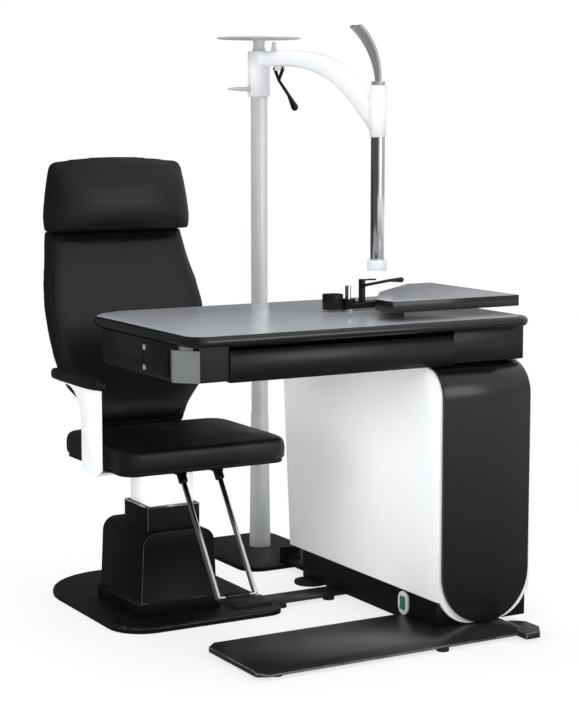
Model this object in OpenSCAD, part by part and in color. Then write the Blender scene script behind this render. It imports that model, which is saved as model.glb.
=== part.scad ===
// Ophthalmic examination chair with its desk, cabinet and instrument pole.
// Millimetres, +Z up. The origin is the axis of the lift column on the floor.
// The patient faces -Y, the desk lies across the lap and the cabinet stands at +X.

/* [Floor plates] */
// Width of the chair's base plate
base_w = 477; // [420:1:520]
// Depth of the chair's base plate
base_d = 635; // [560:1:700]
// Thickness of the chair's base plate
base_t = 16; // [12:1:24]
// Distance of the plate's left edge from the column axis
base_left = 207; // [180:1:215]
// Distance of the plate's front edge from the column axis
base_front = 232; // [200:1:240]
// Radius of the plate's front left corner
base_r_left = 95; // [40:1:160]
// Radius of the plate's back left corner
base_r_rear = 205; // [80:1:240]
// Radius of the plate's back right corner
base_r_back = 235; // [60:1:250]
// Radius of the plate's front right corner
base_r_front = 50; // [20:1:60]
// Bevel along the upper edge of the floor plates
plate_bevel = 4; // [2:1:6]
// Height of the levelling feet
foot_h = 8; // [5:1:9]
// Diameter of the levelling feet
foot_d = 32; // [24:1:40]
// Width of the beam between the base plate and the cabinet
link_w = 78; // [60:1:100]
// Distance of the beam's middle in front of the column axis
link_y = 124; // [100:1:140]
// Length of the outrigger plate under the desk
out_l = 780; // [600:1:820]
// Depth of the outrigger plate
out_d = 288; // [240:1:320]
// Thickness of the outrigger plate
out_t = 13; // [9:1:18]
// Distance that the outrigger stands out in front of the plinth
out_lead = 125; // [80:1:150]
// Distance of the outrigger's right end inside the cabinet's right side
out_inset = 85; // [40:1:100]
// Width of the bevel along the outrigger's front
out_bevel = 24; // [12:1:34]
// Width of the pole's floor plate
rear_w = 300; // [240:1:340]
// Depth of the pole's floor plate
rear_d = 425; // [360:1:440]
// Thickness of the pole's floor plate
rear_t = 12; // [9:1:16]
// Corner radius of the pole's floor plate
rear_r = 60; // [30:1:90]
// Diameter of the round foot pad at the back of the plinth
pad_foot_d = 94; // [70:1:120]

/* [Lift column] */
// Width of the fixed lower shroud
shroud_w = 206; // [190:1:220]
// Depth of the fixed lower shroud
shroud_d = 260; // [240:1:270]
// Height of the lower shroud's deck above the floor
shroud_h = 236; // [210:1:250]
// Wall of the column's covers
shroud_wall = 4; // [3:1:6]
// Shoulder radius of the lower shroud
shroud_r = 38; // [20:1:45]
// Distance that the skirt stands out round the shroud's foot
skirt_out = 8; // [4:1:12]
// Height of the skirt
skirt_h = 36; // [24:1:48]
// Width of the middle stage
mid_w = 152; // [140:1:160]
// Depth of the middle stage
mid_d = 147; // [142:1:156]
// Height of the middle stage's front edge above the floor
mid_top = 299; // [285:1:310]
// Distance of the stages' middle in front of the column axis
stage_y = 27; // [20:1:28]
// Distance that the shroud's sides stand further out at its foot
shroud_flare = 9; // [4:1:12]
// Gap between the lift post and the middle stage's cover
post_gap = 9; // [8:1:11]
// Diameter of the actuator's tube
actuator_d = 52; // [44:1:54]
// Diameter of the actuator's spindle
spindle_d = 30; // [20:1:34]

/* [Seat] */
// Width of the seat
seat_w = 490; // [450:1:496]
// Depth of the seat
seat_d = 416; // [380:1:430]
// Distance of the seat's front edge from the column axis
seat_front = 316; // [300:1:330]
// Height of the seat's underside above the floor
seat_z = 426; // [415:1:440]
// Thickness of the seat pan
pan_t = 10; // [8:1:14]
// Thickness of the seat cushion at its edge
seat_h = 64; // [56:1:68]
// Rise of the cushion's crown above its edge
seat_crown = 8; // [4:1:10]
// Distance of the seat pan inside the cushion's outline
pan_inset = 14; // [8:1:24]
// Diameter of the swivel bearing
bearing_d = 120; // [90:1:130]
// Thickness of the swivel bearing
bearing_t = 8; // [6:1:12]

/* [Armrest] */
// Width of the armrest's upright
arm_w = 118; // [90:1:130]
// Thickness of the armrest's plate
arm_t = 6; // [5:1:10]
// Distance of the upright's front edge from the column axis
arm_front = 236; // [220:1:245]
// Height of the arm pad's underside above the floor
arm_z = 638; // [610:1:645]
// Length of the arm pad
pad_l = 290; // [250:1:310]
// Width of the arm pad
pad_w = 52; // [40:1:54]
// Thickness of the arm pad
pad_t = 28; // [20:1:32]
// Gap between the arm pad and the desk
pad_gap = 30; // [24:1:40]

/* [Backrest] */
// Half width of the backrest at its waist
back_waist = 134; // [110:1:140]
// Half width of the backrest at its widest
back_wide = 233; // [205:1:240]
// Half width of the backrest under the headrest
back_neck = 203; // [180:1:210]
// Thickness of the back cushion
back_t = 66; // [56:1:76]
// Height of the back cushion's lower end above the floor
back_z0 = 503; // [502:1:530]
// Height of the back cushion's upper end above the floor
back_z1 = 1004; // [970:1:1010]
// Place of the backrest's middle behind the column axis at seat height
back_y = 106; // [102:1:116]
// Lean of the backrest in degrees
back_lean = 19; // [10:1:22]
// Distance that the backrest's sides wrap forwards
back_wrap = 16; // [6:1:24]
// Diameter of the recline pin
pin_d = 16; // [12:1:18]
// Distance of the recline pin behind the column axis
hinge_y = 124; // [122:1:130]
// Height of the recline pin above the floor
hinge_z = 468; // [462:1:474]
// Height of the headrest's top above the floor
head_top = 1203; // [1150:1:1220]
// Half width of the headrest
head_w = 214; // [190:1:222]
// Lean of the headrest in degrees
head_lean = 3; // [2:1:10]
// Thickness of the headrest
head_t = 84; // [70:1:96]
// Diameter of the headrest's posts
head_post_d = 12; // [10:1:16]

/* [Footrest] */
// Distance between the two rods
rod_gap = 104; // [90:1:120]
// Diameter of the rods
rod_d = 14; // [10:1:16]
// Distance of the rods' upper ends in front of the column axis
rod_y0 = 252; // [240:1:260]
// Distance of the rods' lower ends in front of the column axis
rod_y1 = 452; // [430:1:470]
// Height of the tread's hinge above the floor
tread_z = 133; // [120:1:150]
// Width of the tread
tread_w = 112; // [100:1:130]
// Depth of the tread
tread_d = 70; // [60:1:90]
// Thickness of the tread
tread_t = 12; // [8:1:14]

/* [Cabinet] */
// Distance of the cabinet's left face from the column axis
cab_x = 490; // [450:1:500]
// Width of the cabinet
cab_w = 285; // [260:1:300]
// Distance of the plinth's front in front of the column axis
cab_front = 605; // [590:1:615]
// Depth of the plinth
plinth_d = 680; // [640:1:690]
// Height of the plinth's top above the floor
plinth_top = 88; // [75:1:95]
// Inset of the plinth behind the side panels
plinth_inset = 4; // [2:1:10]
// Thickness of the side panels
panel_t = 10; // [8:1:14]
// Distance of the side panels' foot behind the plinth's front
panel_d = 748; // [720:1:760]
// Distance that the cabinet's back leans out at its top
panel_rake = 47; // [20:1:60]
// Thickness of the front fascia
fascia_t = 10; // [8:1:14]
// Radius of the fascia's rolled top
roll_r = 80; // [60:1:95]
// Radius of the fascia's lower corners
fascia_r = 130; // [100:1:132]
// Radius of the white rim's lower corners
rim_r = 108; // [80:1:110]
// Thickness of the white rim behind the fascia
rim_t = 10; // [8:1:14]
// Step from the fascia back to the side panels' front edge
fascia_step = 10; // [4:1:14]
// Height of the fascia's lowest point above the outrigger
fascia_low = 2; // [1:1:6]
// Thickness of the cabinet frame's sheet
sheet = 3; // [2:1:5]
// Side of the cabinet frame's posts
frame_post = 18; // [14:1:24]

/* [Desk] */
// Distance of the desk's left side from the column axis
desk_left = 203; // [198:1:208]
// Distance of the desk's front in front of the column axis
desk_front = 572; // [560:1:590]
// Distance of the desk's back behind the column axis
desk_back = 20; // [0:1:24]
// Height of the desk's underside above the floor
desk_z = 692; // [685:1:700]
// Height of the desk's carcass
desk_h = 88; // [76:1:100]
// Thickness of the desk top
top_t = 25; // [18:1:30]
// Overhang of the desk top at the front
top_front = 45; // [30:1:55]
// Overhang of the desk top at the back
top_back = 27; // [10:1:32]
// Overhang of the desk top at the left
top_left = 6; // [2:1:7]
// Corner radius of the desk top
top_r = 50; // [30:1:70]
// Corner radius of the desk top at its back left
top_back_r = 150; // [60:1:160]
// Depth of the carcass's cut corner at its back left
back_cut = 134; // [60:1:150]
// Width of the cut corner at the desk's front left
desk_cut = 42; // [34:1:60]
// Thickness of the desk's front panels
front_t = 14; // [10:1:18]
// Distance of the drawer front from the desk's left side
drawer_x = 122; // [100:1:160]
// Width of the drawer front
drawer_w = 640; // [560:1:660]
// Distance that the drawer front stands proud and hangs low
drawer_lip = 4; // [2:1:6]
// Gap round the drawer front
drawer_gap = 2; // [1:1:3]
// Depth of the drawer tub
tub_d = 430; // [360:1:480]
// Height of the drawer tub
tub_h = 56; // [45:1:60]
// Wall of the drawer tub
tub_wall = 3; // [2:1:5]
// Length of the control panel on the desk's left side
ctrl_l = 142; // [130:1:200]
// Distance of the control panel behind the desk's front
ctrl_y = 77; // [70:1:100]
// Diameter of the panel's push buttons
button_d = 14; // [10:1:18]
// Travel of the push buttons
button_travel = 2; // [1:1:3]

/* [Pole and arm] */
// Place of the pole beside the column axis
pole_x = 564; // [550:1:580]
// Distance of the pole behind the plinth
pole_back = 384; // [370:1:395]
// Diameter of the pole
pole_d = 50; // [44:1:56]
// Wall of the pole
pole_wall = 3; // [2:1:5]
// Height of the pole's top above the floor
pole_top = 1503; // [1480:1:1520]
// Height of the conical sleeve round the pole's foot
sleeve_h = 410; // [300:1:440]
// Diameter of the sleeve's foot
sleeve_d = 64; // [60:1:72]
// Diameter of the arm's hub
hub_d = 66; // [64:1:74]
// Height of the arm's hub
hub_h = 132; // [110:1:140]
// Diameter of the projector shelf
shelf_d = 247; // [200:1:260]
// Thickness of the projector shelf
shelf_t = 4; // [3:1:6]
// Height of the spool under the shelf
spool_h = 36; // [28:1:44]
// Diameter of the spool's ends
spool_d = 40; // [36:1:48]
// Reach of the arm from the pole to the hanging tube
arm_reach = 615; // [580:1:630]
// Turn of the arm from the -Y direction, in degrees
arm_turn = 2.7; // [0:0.1:6]
// Height of the arm's section at the hub
neck_h = 42; // [36:1:46]
// Height of the arm's section at its lower bend
elbow_h = 62; // [50:1:66]
// Width of the arm's section
neck_w = 40; // [34:1:44]
// Diameter of the hanging tube
tube_d = 38; // [34:1:42]
// Diameter of the sleeve that holds the hanging tube
tube_sleeve_d = 45; // [44:1:52]
// Height of that sleeve
tube_sleeve_h = 138; // [130:1:150]
// Height of the sleeve's lower end above the floor
tube_sleeve_z = 1258; // [1240:1:1270]
// Height of the hanging tube's lower end above the floor
tube_z = 926; // [915:1:960]
// Length of the hanging tube inside the sleeve at rest
tube_in = 42; // [30:1:44]
// Diameter of the tube's head
head_d = 54; // [48:1:60]
// Height of the tube's head
head_h = 28; // [24:1:34]
// Diameter of the socket under the tube's head
socket_d = 12; // [8:1:16]
// Depth of the socket under the tube's head
socket_h = 20; // [14:1:22]
// Rise of the lamp blade above its foot
lamp_rise = 150; // [120:1:160]
// Lean of the lamp blade from foot to tip
lamp_lean = 74; // [50:1:90]
// Width of the lamp blade at its tip
lamp_w = 52; // [40:1:60]
// Thickness of the lamp blade
lamp_t = 7; // [5:1:9]

/* [Instrument tray] */
// Distance of the tray's pivot from the column axis along X
tray_px = 440; // [430:1:450]
// Distance of the tray's pivot in front of the column axis
tray_py = 255; // [245:1:265]
// Width of the tray's slab
slab_w = 388; // [360:1:400]
// Depth of the tray's slab
slab_d = 412; // [380:1:415]
// Thickness of the tray's slab
slab_t = 28; // [20:1:30]
// Height of the slab's underside above the desk top
slab_lift = 22; // [18:1:26]
// Distance of the slab's front edge in front of the column axis
slab_front = 551; // [540:1:560]
// Diameter of the tray's pivot post
tray_post_d = 16; // [14:1:20]
// Height of the tray's pivot post above the desk top
tray_post_h = 65; // [58:1:70]
// Diameter of the cup
cup_d = 55; // [48:1:58]
// Height of the cup
cup_h = 36; // [30:1:40]
// Wall of the cup
cup_wall = 3; // [2:1:4]
// Length of the tray's long lever
lever_l = 124; // [100:1:140]

/* [Hidden] */

$fn = 64;
// Facets of round parts inside hulls
hull_fn = 32;
// Overrun of every cut past the face that it leaves by
over = 1;
// Gap between pieces that move past each other
slip = 0.5;
// Radial clearance of pins and shafts in their bores
run = 0.05;
// Gap under soft pieces
soft_gap = 0.3;

// Floor plates
base_x0 = -base_left;
base_x1 = base_w - base_left;
base_y0 = -base_front;
base_y1 = base_d - base_front;
link_t = base_t - foot_h;
cab_x1 = cab_x + cab_w;
out_x1 = cab_x1 - out_inset;
out_x0 = out_x1 - out_l;
out_y0 = -cab_front - out_lead;
out_y1 = out_y0 + out_d;
out_z1 = foot_h + out_t;
out_corner = 30;
block_w = 70;
block_d = 124;
block_rise = 3;
block_y = 42;
plinth_y0 = -cab_front;
plinth_y1 = plinth_y0 + plinth_d;
pole_y = plinth_y1 + pole_back;
rear_y1 = pole_y + rear_w / 2 + rear_r / 3;
rear_x0 = pole_x - 0.6 * rear_w;
rear_y0 = rear_y1 - rear_d;
bracket_w = 64;
bracket_t = 10;
bracket_x = pole_x - bracket_w / 4;
bracket_lap = 46;
bracket_h = 42;
bolt_d = 16;
bolt_h = 6;

// Lift column: each stage's middle lies stage_y in front of the axis
mid_x = mid_w / 2;
mid_y0 = -stage_y - mid_d / 2;
mid_z0 = 64;
deck_t = 8;
post_w = mid_w - 2 * post_gap - 2 * shroud_wall;
post_d = mid_d - 2 * post_gap - 2 * shroud_wall;
post_z0 = 84;
post_z1 = seat_z - slip - bearing_t;
post_wall = 4;
post_cap = 8;
actuator_foot = 96;
actuator_foot_t = 10;
actuator_z1 = shroud_h - 2 * deck_t;
spindle_z0 = base_t + actuator_foot_t + base_t;
bearing_pin_d = 40;

// Seat
seat_y = seat_d / 2 - seat_front;
cushion_z = seat_z + pan_t + soft_gap;
seat_p = 7;
seat_n = 56;
seat_bead = 10;
seat_pull = 5;
// Inset in edge beads and height as a share of the cushion's edge
seat_shares = [[0.8, 0], [0.3, 0.04], [0.08, 0.12], [0, 0.3], [0, 0.5], [0.1, 0.68],
    [0.36, 0.83], [0.85, 0.94], [1.5, 0.99]];
// Inset and rise of the crown as shares of the half depth and of the crown
crown_shares = [[0.16, 0.35], [0.34, 0.68], [0.6, 0.92], [0.86, 1]];

// Armrest
pad_x1 = -desk_left - top_left - pad_gap;
pad_x0 = pad_x1 - pad_w;
arm_x = (pad_x0 + pad_x1) / 2;
arm_back = arm_w - arm_front;
strap_t = 6;
strap_l = 150;
strap_w = 70;
arm_tip_t = 8;
arm_tip_y = pad_l - arm_front - pad_w / 2;
arm_sweep_r = 90;
arm_cut = 22;
pad_n = 32;
// End inset and height of the pad's rings
pad_ring_shares = [[0.16, 0], [0.04, 0.12], [0, 0.4], [0.03, 0.72], [0.12, 0.9], [0.3, 1]];

// Backrest: the middle of its thickness follows this line from the seat upwards
function back_mid(z) = back_y + (z - back_z0) * tan(back_lean);
// Height share and half width share of the backrest's outline, waist to neck
back_shares = [[0, 0], [0.035, 0.05], [0.07, 0.17], [0.11, 0.34], [0.165, 0.6], [0.24, 0.82],
    [0.355, 0.94], [0.48, 0.99], [0.59, 1]];
// Height share of the cushion's rings and their inset as a share of its thickness
back_ring_shares = [[0, 0.4], [0.01, 0.18], [0.03, 0.05], [0.07, 0], [0.12, 0], [0.18, 0],
    [0.26, 0], [0.36, 0], [0.48, 0], [0.6, 0], [0.72, 0], [0.84, 0], [0.95, 0.01],
    [0.985, 0.06], [1, 0.24]];
back_n = 40;
back_p = 3.4;
back_rise = back_z1 - back_z0;
shell_y = back_t / 2 * cos(back_lean) + soft_gap;
shell_t = 12;
barrel_wall = 7;
barrel_d = pin_d + 2 * barrel_wall;
ear_t = 8;
ear_x = 70;
head_gap = 1.5;
head_z0 = back_z1 + head_gap;
head_lead = 44;
head_n = 40;
head_p = 3;
// Height share, width inset share and thickness share of the headrest's rings
head_ring_shares = [[0, 0.05, 0.72], [0.03, 0.014, 0.98], [0.1, 0.004, 1.12], [0.22, 0, 1.18],
    [0.4, 0.014, 1.12], [0.6, 0.036, 1], [0.8, 0.064, 0.84], [0.92, 0.084, 0.66],
    [0.975, 0.11, 0.46], [1, 0.17, 0.26]];
head_arch = 19;
head_post_x = 75;
guide_wall = 5;
head_post_gap = 2;
head_post_y = shell_y + shell_t + head_post_d / 2 + head_post_gap;
head_plate_w = 190;
head_plate_h = 80;
back_len = back_rise / cos(back_lean);
guide_d = head_post_d + 2 * guide_wall;
guide_l = 44;
guide_drop = 20;
guide_z = back_len - guide_l - guide_drop;
head_post_in = 62;
head_post_z0 = guide_z - head_post_in;
head_plate_t = 8;
head_plate_rise = 28;
head_plate_z = head_z0 + head_plate_rise;
head_arm_w = 20;
head_arm_z1 = head_plate_z + head_plate_h / 2;
head_back_share = 1.18;
head_post_z1 = (head_arm_z1 - back_z0 + head_post_y * sin(back_lean)) / cos(back_lean)
    + head_post_d / 2;
shell_gap = 12;

// Footrest
rod_x = rod_gap / 2;
rod_drop = 16;
rod_z0 = seat_z - rod_drop;
rod_lean = atan((rod_y1 - rod_y0) / (rod_z0 - tread_z));
rod_l = norm([rod_y1 - rod_y0, rod_z0 - tread_z]);
knuckle_share = 0.1;
knuckle_wall = 5;
knuckle_d = rod_d + 2 * knuckle_wall;
tread_bar_d = 12;
tread_wall = 4;
tread_barrel_d = tread_bar_d + 2 * tread_wall;
tread_barrel_l = rod_gap - rod_d - 2 * tread_t;

// Cabinet
cab_z0 = out_z1 + fascia_low;
face_y0 = plinth_y0 - fascia_t - rim_t;
panel_y1 = plinth_y0 + panel_d;
cab_top = desk_z;
fascia_gap = 1;
fascia_top = desk_z - drawer_lip - fascia_gap;
roll_y = face_y0 + roll_r;
roll_z = fascia_top - roll_r;
roll_run = 24;
switch_in = 150;
switch_y = plinth_y0 + switch_in;
switch_z = 52;
switch_w = 46;
switch_h = 62;
switch_out = 5;
rocker_w = 22;
rocker_h = 36;
rocker_out = 3;
rocker_tilt = 1.5;
rocker_pin_d = 2;
rocker_pin_in = 1.5;
rocker_pin_x = cab_x + plinth_inset - switch_out + rocker_pin_in;

// Desk
desk_x0 = -desk_left;
desk_side = 3;
desk_x1 = cab_x1 + desk_side;
desk_y0 = -desk_front;
desk_z1 = desk_z + desk_h;
desk_top_z = desk_z1 + top_t;
drawer_x0 = desk_x0 + drawer_x;
drawer_x1 = drawer_x0 + drawer_w;
bay_room = 40;
bay_y1 = desk_y0 + front_t + tub_d + bay_room;
tub_rise = 14;
tub_z0 = desk_z + tub_rise;
runner_t = 10;
runner_h = 24;
tub_x0 = drawer_x0 + runner_t + slip;
tub_x1 = drawer_x1 - runner_t - slip;
post_plate = 4;
key_h = 22;
ctrl_t = 3;
ctrl_y0 = desk_y0 + ctrl_y;
ctrl_edge = 7;
ctrl_z0 = desk_z + ctrl_edge;
ctrl_z1 = desk_z1 - ctrl_edge;
// Heights of the two buttons on the panel, lower first
button_shares = [0.15, 0.82];
button_heights = [for (s = button_shares) ctrl_z0 + (ctrl_z1 - ctrl_z0) * s];

// Pole, arm and hanging tube
hub_z1 = pole_top - slip;
hub_z0 = hub_z1 - hub_h;
neck_drop = 1;
neck_dip = 8;
neck_z = hub_z1 - neck_h / 2 - neck_drop;
sleeve_z1 = tube_sleeve_z + tube_sleeve_h;
cap_t = 10;
tube_z1 = tube_sleeve_z + tube_in;
lamp_pin_d = 14;
lamp_base_d = 36;
lamp_base_h = 10;
lamp_r = (pow(lamp_lean, 2) + pow(lamp_rise, 2)) / (2 * lamp_lean);
lamp_sweep = asin(lamp_rise / lamp_r);
lug_s = 111;
lug_l = 36;
lug_h = 26;
lug_z = neck_z - neck_h / 2 - lug_h / 3;
yoke_t = 9;
yoke_eye_d = 11;
yoke_pin_d = 6;
yoke_drop = 34;
grip_s = [54, 86];
grip_z = [-78, -112];
grip_d = [10, 21];
clamp_rise = 22;
clamp_z = hub_z0 + clamp_rise;
clamp_l = 70;
clamp_pin_d = 6;
clamp_pin_l = 6;
clamp_rings = [8, 6, 6.5, 2.5];
clamp_steps = [6, 12, 28];
knob_s = 84;
knob_d = [18, 9];
knob_h = 26;

// Instrument tray
slab_z0 = desk_top_z + slab_lift;
slab_z1 = slab_z0 + slab_t;
slab_x1 = desk_x1;
slab_x0 = slab_x1 - slab_w;
slab_y0 = -slab_front;
slab_y1 = slab_y0 + slab_d;
// Cut of the slab's back left side, as shares of its width and depth
slab_cut_shares = [[0, 0.2], [0.31, 0.61], [0.8, 1]];
tray_foot_t = 5;
arm_z0 = desk_top_z + tray_foot_t + slip;
tray_hub_d = 2.4 * tray_post_d;
tray_bar_w = 40;
tray_bar_l = 164;
ledge_t = 4;
lever_out = 43;
lever_rise = 9;
lever_x = tray_px + lever_out;
lever_z = slab_z1 + lever_rise;
lever_pin_d = 9;
lever_post_top = lever_z + 2 * lever_pin_d;
cup_x = tray_px - (tray_hub_d + cup_d) / 2 - slip;
lever_h = 22;
lever_arm_d = 8;
lever_tip_d = 14;
lever_lift = 15;
lever_short = 40;

// Corner cut with a circle: the square at the corner less the circle inside it
module corner_cut(x, y, turn, r) {
    translate([x, y]) rotate(turn) difference() {
        translate([-over, -over]) square(r + over);
        translate([r, r]) circle(r);
    }
}

// Rectangle whose corners have their own radii: front left, front right, back right,
// back left
module corner_rect(x0, y0, x1, y1, r) {
    difference() {
        translate([x0, y0]) square([x1 - x0, y1 - y0]);
        corner_cut(x0, y0, 0, r[0]);
        corner_cut(x1, y0, 90, r[1]);
        corner_cut(x1, y1, 180, r[2]);
        corner_cut(x0, y1, 270, r[3]);
    }
}

// Plate with a bevel round its upper edge, for convex outlines
module bevelled_rect(x0, y0, x1, y1, r, h, bevel) {
    hull() {
        linear_extrude(h - bevel) corner_rect(x0, y0, x1, y1, r, $fn = hull_fn);
        linear_extrude(h)
            corner_rect(x0 + bevel, y0 + bevel, x1 - bevel, y1 - bevel,
                [for (q = r) q - bevel], $fn = hull_fn);
    }
}

// Solid skin over a stack of rings, each a list of points that runs anticlockwise as seen
// from the end that the stack runs to
module loft(rings) {
    n = len(rings[0]);
    m = len(rings);
    ends = [for (r = [rings[0], rings[m - 1]]) [for (k = [0:2]) sum_of(r, k) / n]];
    points = concat([for (r = rings) each r], ends);
    sides = [for (j = [0:m - 2], i = [0:n - 1])
        let (a = j * n + i, b = j * n + (i + 1) % n) each [[a, a + n, b], [b, a + n, b + n]]];
    low = [for (i = [0:n - 1]) [m * n, i, (i + 1) % n]];
    high = [for (i = [0:n - 1])
        [m * n + 1, (m - 1) * n + (i + 1) % n, (m - 1) * n + i]];
    polyhedron(points = points, faces = concat(sides, low, high));
}

// Sum of one coordinate over a ring
function sum_of(r, k, i = 0) = i == len(r) ? 0 : r[i][k] + sum_of(r, k, i + 1);

// Superellipse point of half widths a and b at an angle
function squircle(a, b, p, angle) = [a * sign(cos(angle)) * pow(abs(cos(angle)), 2 / p),
    b * sign(sin(angle)) * pow(abs(sin(angle)), 2 / p)];

// Smooth step from 0 to 1
function smooth(t) = t * t * (3 - 2 * t);

// Cubic curve through its control points
function bezier(p, t) = pow(1 - t, 3) * p[0] + 3 * t * pow(1 - t, 2) * p[1]
    + 3 * t * t * (1 - t) * p[2] + pow(t, 3) * p[3];
function bezier_slope(p, t) = 3 * pow(1 - t, 2) * (p[1] - p[0])
    + 6 * t * (1 - t) * (p[2] - p[1]) + 3 * t * t * (p[3] - p[2]);

// Places a child drawn with x along the arm, y across it and z up
module on_arm() {
    translate([pole_x, pole_y, 0]) rotate([0, 0, arm_turn - 90]) children();
}

// Floor plates and feet

module chair_base_plate() {
    color([0.13, 0.14, 0.14])
        bevelled_rect(base_x0, base_y0, base_x1, base_y1,
            [base_r_left, base_r_front, base_r_back, base_r_rear], base_t, plate_bevel);
}

module link_beam() {
    color([0.16, 0.16, 0.16]) translate([base_x1, -link_y, foot_h]) rotate([90, 0, 90])
        linear_extrude(cab_x + plinth_inset - base_x1)
        polygon([[-link_w / 2, 0], [link_w / 2, 0], [link_w / 2, link_t],
            [plate_bevel - link_w / 2, link_t], [-link_w / 2, link_t - plate_bevel]]);
}

// Side profile of the outrigger: flat plate with a sloping front edge
module outrigger_profile() {
    polygon([[out_y0, 0], [out_y0, out_t / 3], [out_y0 + out_bevel, out_t],
        [out_y1, out_t], [out_y1, 0]]);
}

module outrigger_plate() {
    color([0.33, 0.33, 0.33]) translate([0, 0, foot_h]) {
        difference() {
            translate([out_x0, 0, 0]) rotate([90, 0, 90]) linear_extrude(out_l)
                outrigger_profile();
            // Cut corners at the left end
            translate([out_x0, out_y1, -over]) linear_extrude(out_t + 2 * over)
                polygon([[-over, over], [out_corner, over], [out_corner, 0], [0, -out_corner],
                    [-over, -out_corner]]);
            translate([out_x0, out_y0, -over]) linear_extrude(out_t + 2 * over)
                polygon([[-over, -over], [out_corner, -over], [out_corner, 0],
                    [0, out_corner / 2], [-over, out_corner / 2]]);
        }
        // End block that carries a screw foot at the right
        translate([out_x1 - block_w / 2, out_y0 - block_y, 0]) linear_extrude(out_t + block_rise)
            polygon([[0, 0], [block_w * 0.6, 0], [block_w, block_y], [block_w, block_d * 0.8],
                [block_w * 0.6, block_d], [block_w / 3, block_d], [block_w / 3, block_y * 1.4],
                [0, block_y]]);
    }
}

module rear_base_plate() {
    color([0.13, 0.13, 0.13])
        bevelled_rect(rear_x0, rear_y0, rear_x0 + rear_w, rear_y1,
            [rear_r, rear_r, rear_r, rear_r], rear_t, plate_bevel);
}

// Screw feet under the plates and the round pad at the back of the plinth
module levelling_feet() {
    r = foot_d / 2;
    color([0.2, 0.2, 0.2]) {
        for (p = [[base_x1 + r + over, -link_y - link_w / 2],
                [base_x1 + r + over, -link_y + link_w / 2 - r],
                [cab_x - foot_d - r, -link_y - link_w / 2 + r / 2],
                [out_x0 + 2 * foot_d, out_y0 + foot_d], [out_x0 + 2 * foot_d, out_y1 - foot_d],
                [out_x1 - 8 * foot_d, out_y0 + r / 2], [out_x1, out_y0 + r / 2],
                [cab_x + 3 * foot_d, plinth_y1 - r / 2],
                [cab_x1 - foot_d, plinth_y1 - r / 2]])
            translate(p) cylinder(r = r, h = foot_h);
        translate([cab_x, plinth_y1 - pad_foot_d * 0.55, 0]) cylinder(d = pad_foot_d, h = foot_h);
    }
}

// Strap with turned-up ends that joins the pole's plate to the back of the plinth
module rear_bracket() {
    color([0.12, 0.12, 0.12]) {
        translate([bracket_x - bracket_w / 2, plinth_y1, rear_t])
            cube([bracket_w, rear_y0 - plinth_y1 + bracket_lap, bracket_t]);
        translate([bracket_x - bracket_w / 2, plinth_y1, rear_t])
            cube([bracket_w, bracket_t, plinth_top - rear_t - bracket_t]);
        translate([bracket_x - bracket_w / 2, rear_y0 + bracket_lap - bracket_t, rear_t])
            cube([bracket_w, bracket_t, bracket_h]);
        for (side = [-1, 1])
            translate([bracket_x + side * bracket_w / 4, rear_y0 + (bracket_lap - bracket_t) / 2,
                rear_t + bracket_t])
                cylinder(d = bolt_d, h = bolt_h, $fn = 6);
    }
}

// Lift column

// Block of plan size w by d, hollow, centred on the stages' middle
module stage_tube(w, d, z0, z1, wall) {
    difference() {
        translate([-w / 2, -stage_y - d / 2, z0]) cube([w, d, z1 - z0]);
        translate([-w / 2 + wall, -stage_y - d / 2 + wall, z0 - over])
            cube([w - 2 * wall, d - 2 * wall, z1 - z0 + 2 * over]);
    }
}

// Front outline of the lower shroud: leaning sides and round shoulders
module shroud_front(inset) {
    w = shroud_w / 2 - inset;
    r = shroud_r - inset;
    top = shroud_h - inset;
    foot = base_t - over * inset / shroud_wall;
    difference() {
        polygon([[-w - shroud_flare, foot], [w + shroud_flare, foot], [w, top - r], [w, top],
            [-w, top], [-w, top - r]]);
        corner_cut(-w, top, 270, r);
        corner_cut(w, top, 180, r);
    }
}

module column_lower_shroud() {
    skirt_x = shroud_w / 2 + shroud_flare + skirt_out;
    skirt_y = shroud_d / 2 + skirt_out;
    color([0.17, 0.18, 0.19]) difference() {
        union() {
            translate([0, shroud_d / 2, 0]) rotate([90, 0, 0]) linear_extrude(shroud_d)
                shroud_front(0);
            // Skirt round the foot
            translate([0, 0, base_t]) linear_extrude(skirt_h)
                corner_rect(-skirt_x, -skirt_y, skirt_x, skirt_y,
                    [skirt_out, skirt_out, skirt_out, skirt_out]);
        }
        translate([0, shroud_d / 2 - shroud_wall, 0]) rotate([90, 0, 0])
            linear_extrude(shroud_d - 2 * shroud_wall) shroud_front(shroud_wall);
        // Opening in the deck for the middle stage
        translate([-mid_x - slip, mid_y0 - slip, shroud_h / 2])
            cube([mid_w + 2 * slip, mid_d + 2 * slip, shroud_h]);
    }
}

module column_mid_stage() {
    color([0.2, 0.21, 0.22]) difference() {
        union() {
            stage_tube(mid_w, mid_d, mid_z0, mid_top, shroud_wall);
            translate([-mid_x, mid_y0, mid_top - deck_t]) cube([mid_w, mid_d, deck_t]);
        }
        // Opening for the lift post
        translate([-post_w / 2 - slip, -stage_y - post_d / 2 - slip, mid_top - deck_t - over])
            cube([post_w + 2 * slip, post_d + 2 * slip, deck_t + 2 * over]);
    }
}

module lift_post() {
    color([0.9, 0.9, 0.9]) {
        stage_tube(post_w, post_d, post_z0, post_z1, post_wall);
        translate([-post_w / 2, -stage_y - post_d / 2, post_z1 - post_cap])
            cube([post_w, post_d, post_cap]);
    }
}

module lift_actuator() {
    color([0.35, 0.35, 0.36]) difference() {
        union() {
            translate([0, 0, base_t]) cylinder(d = actuator_foot, h = actuator_foot_t);
            translate([0, 0, base_t]) cylinder(d = actuator_d, h = actuator_z1 - base_t);
        }
        translate([0, 0, base_t + actuator_foot_t])
            cylinder(d = spindle_d + 2 * run, h = actuator_z1);
    }
}

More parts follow.
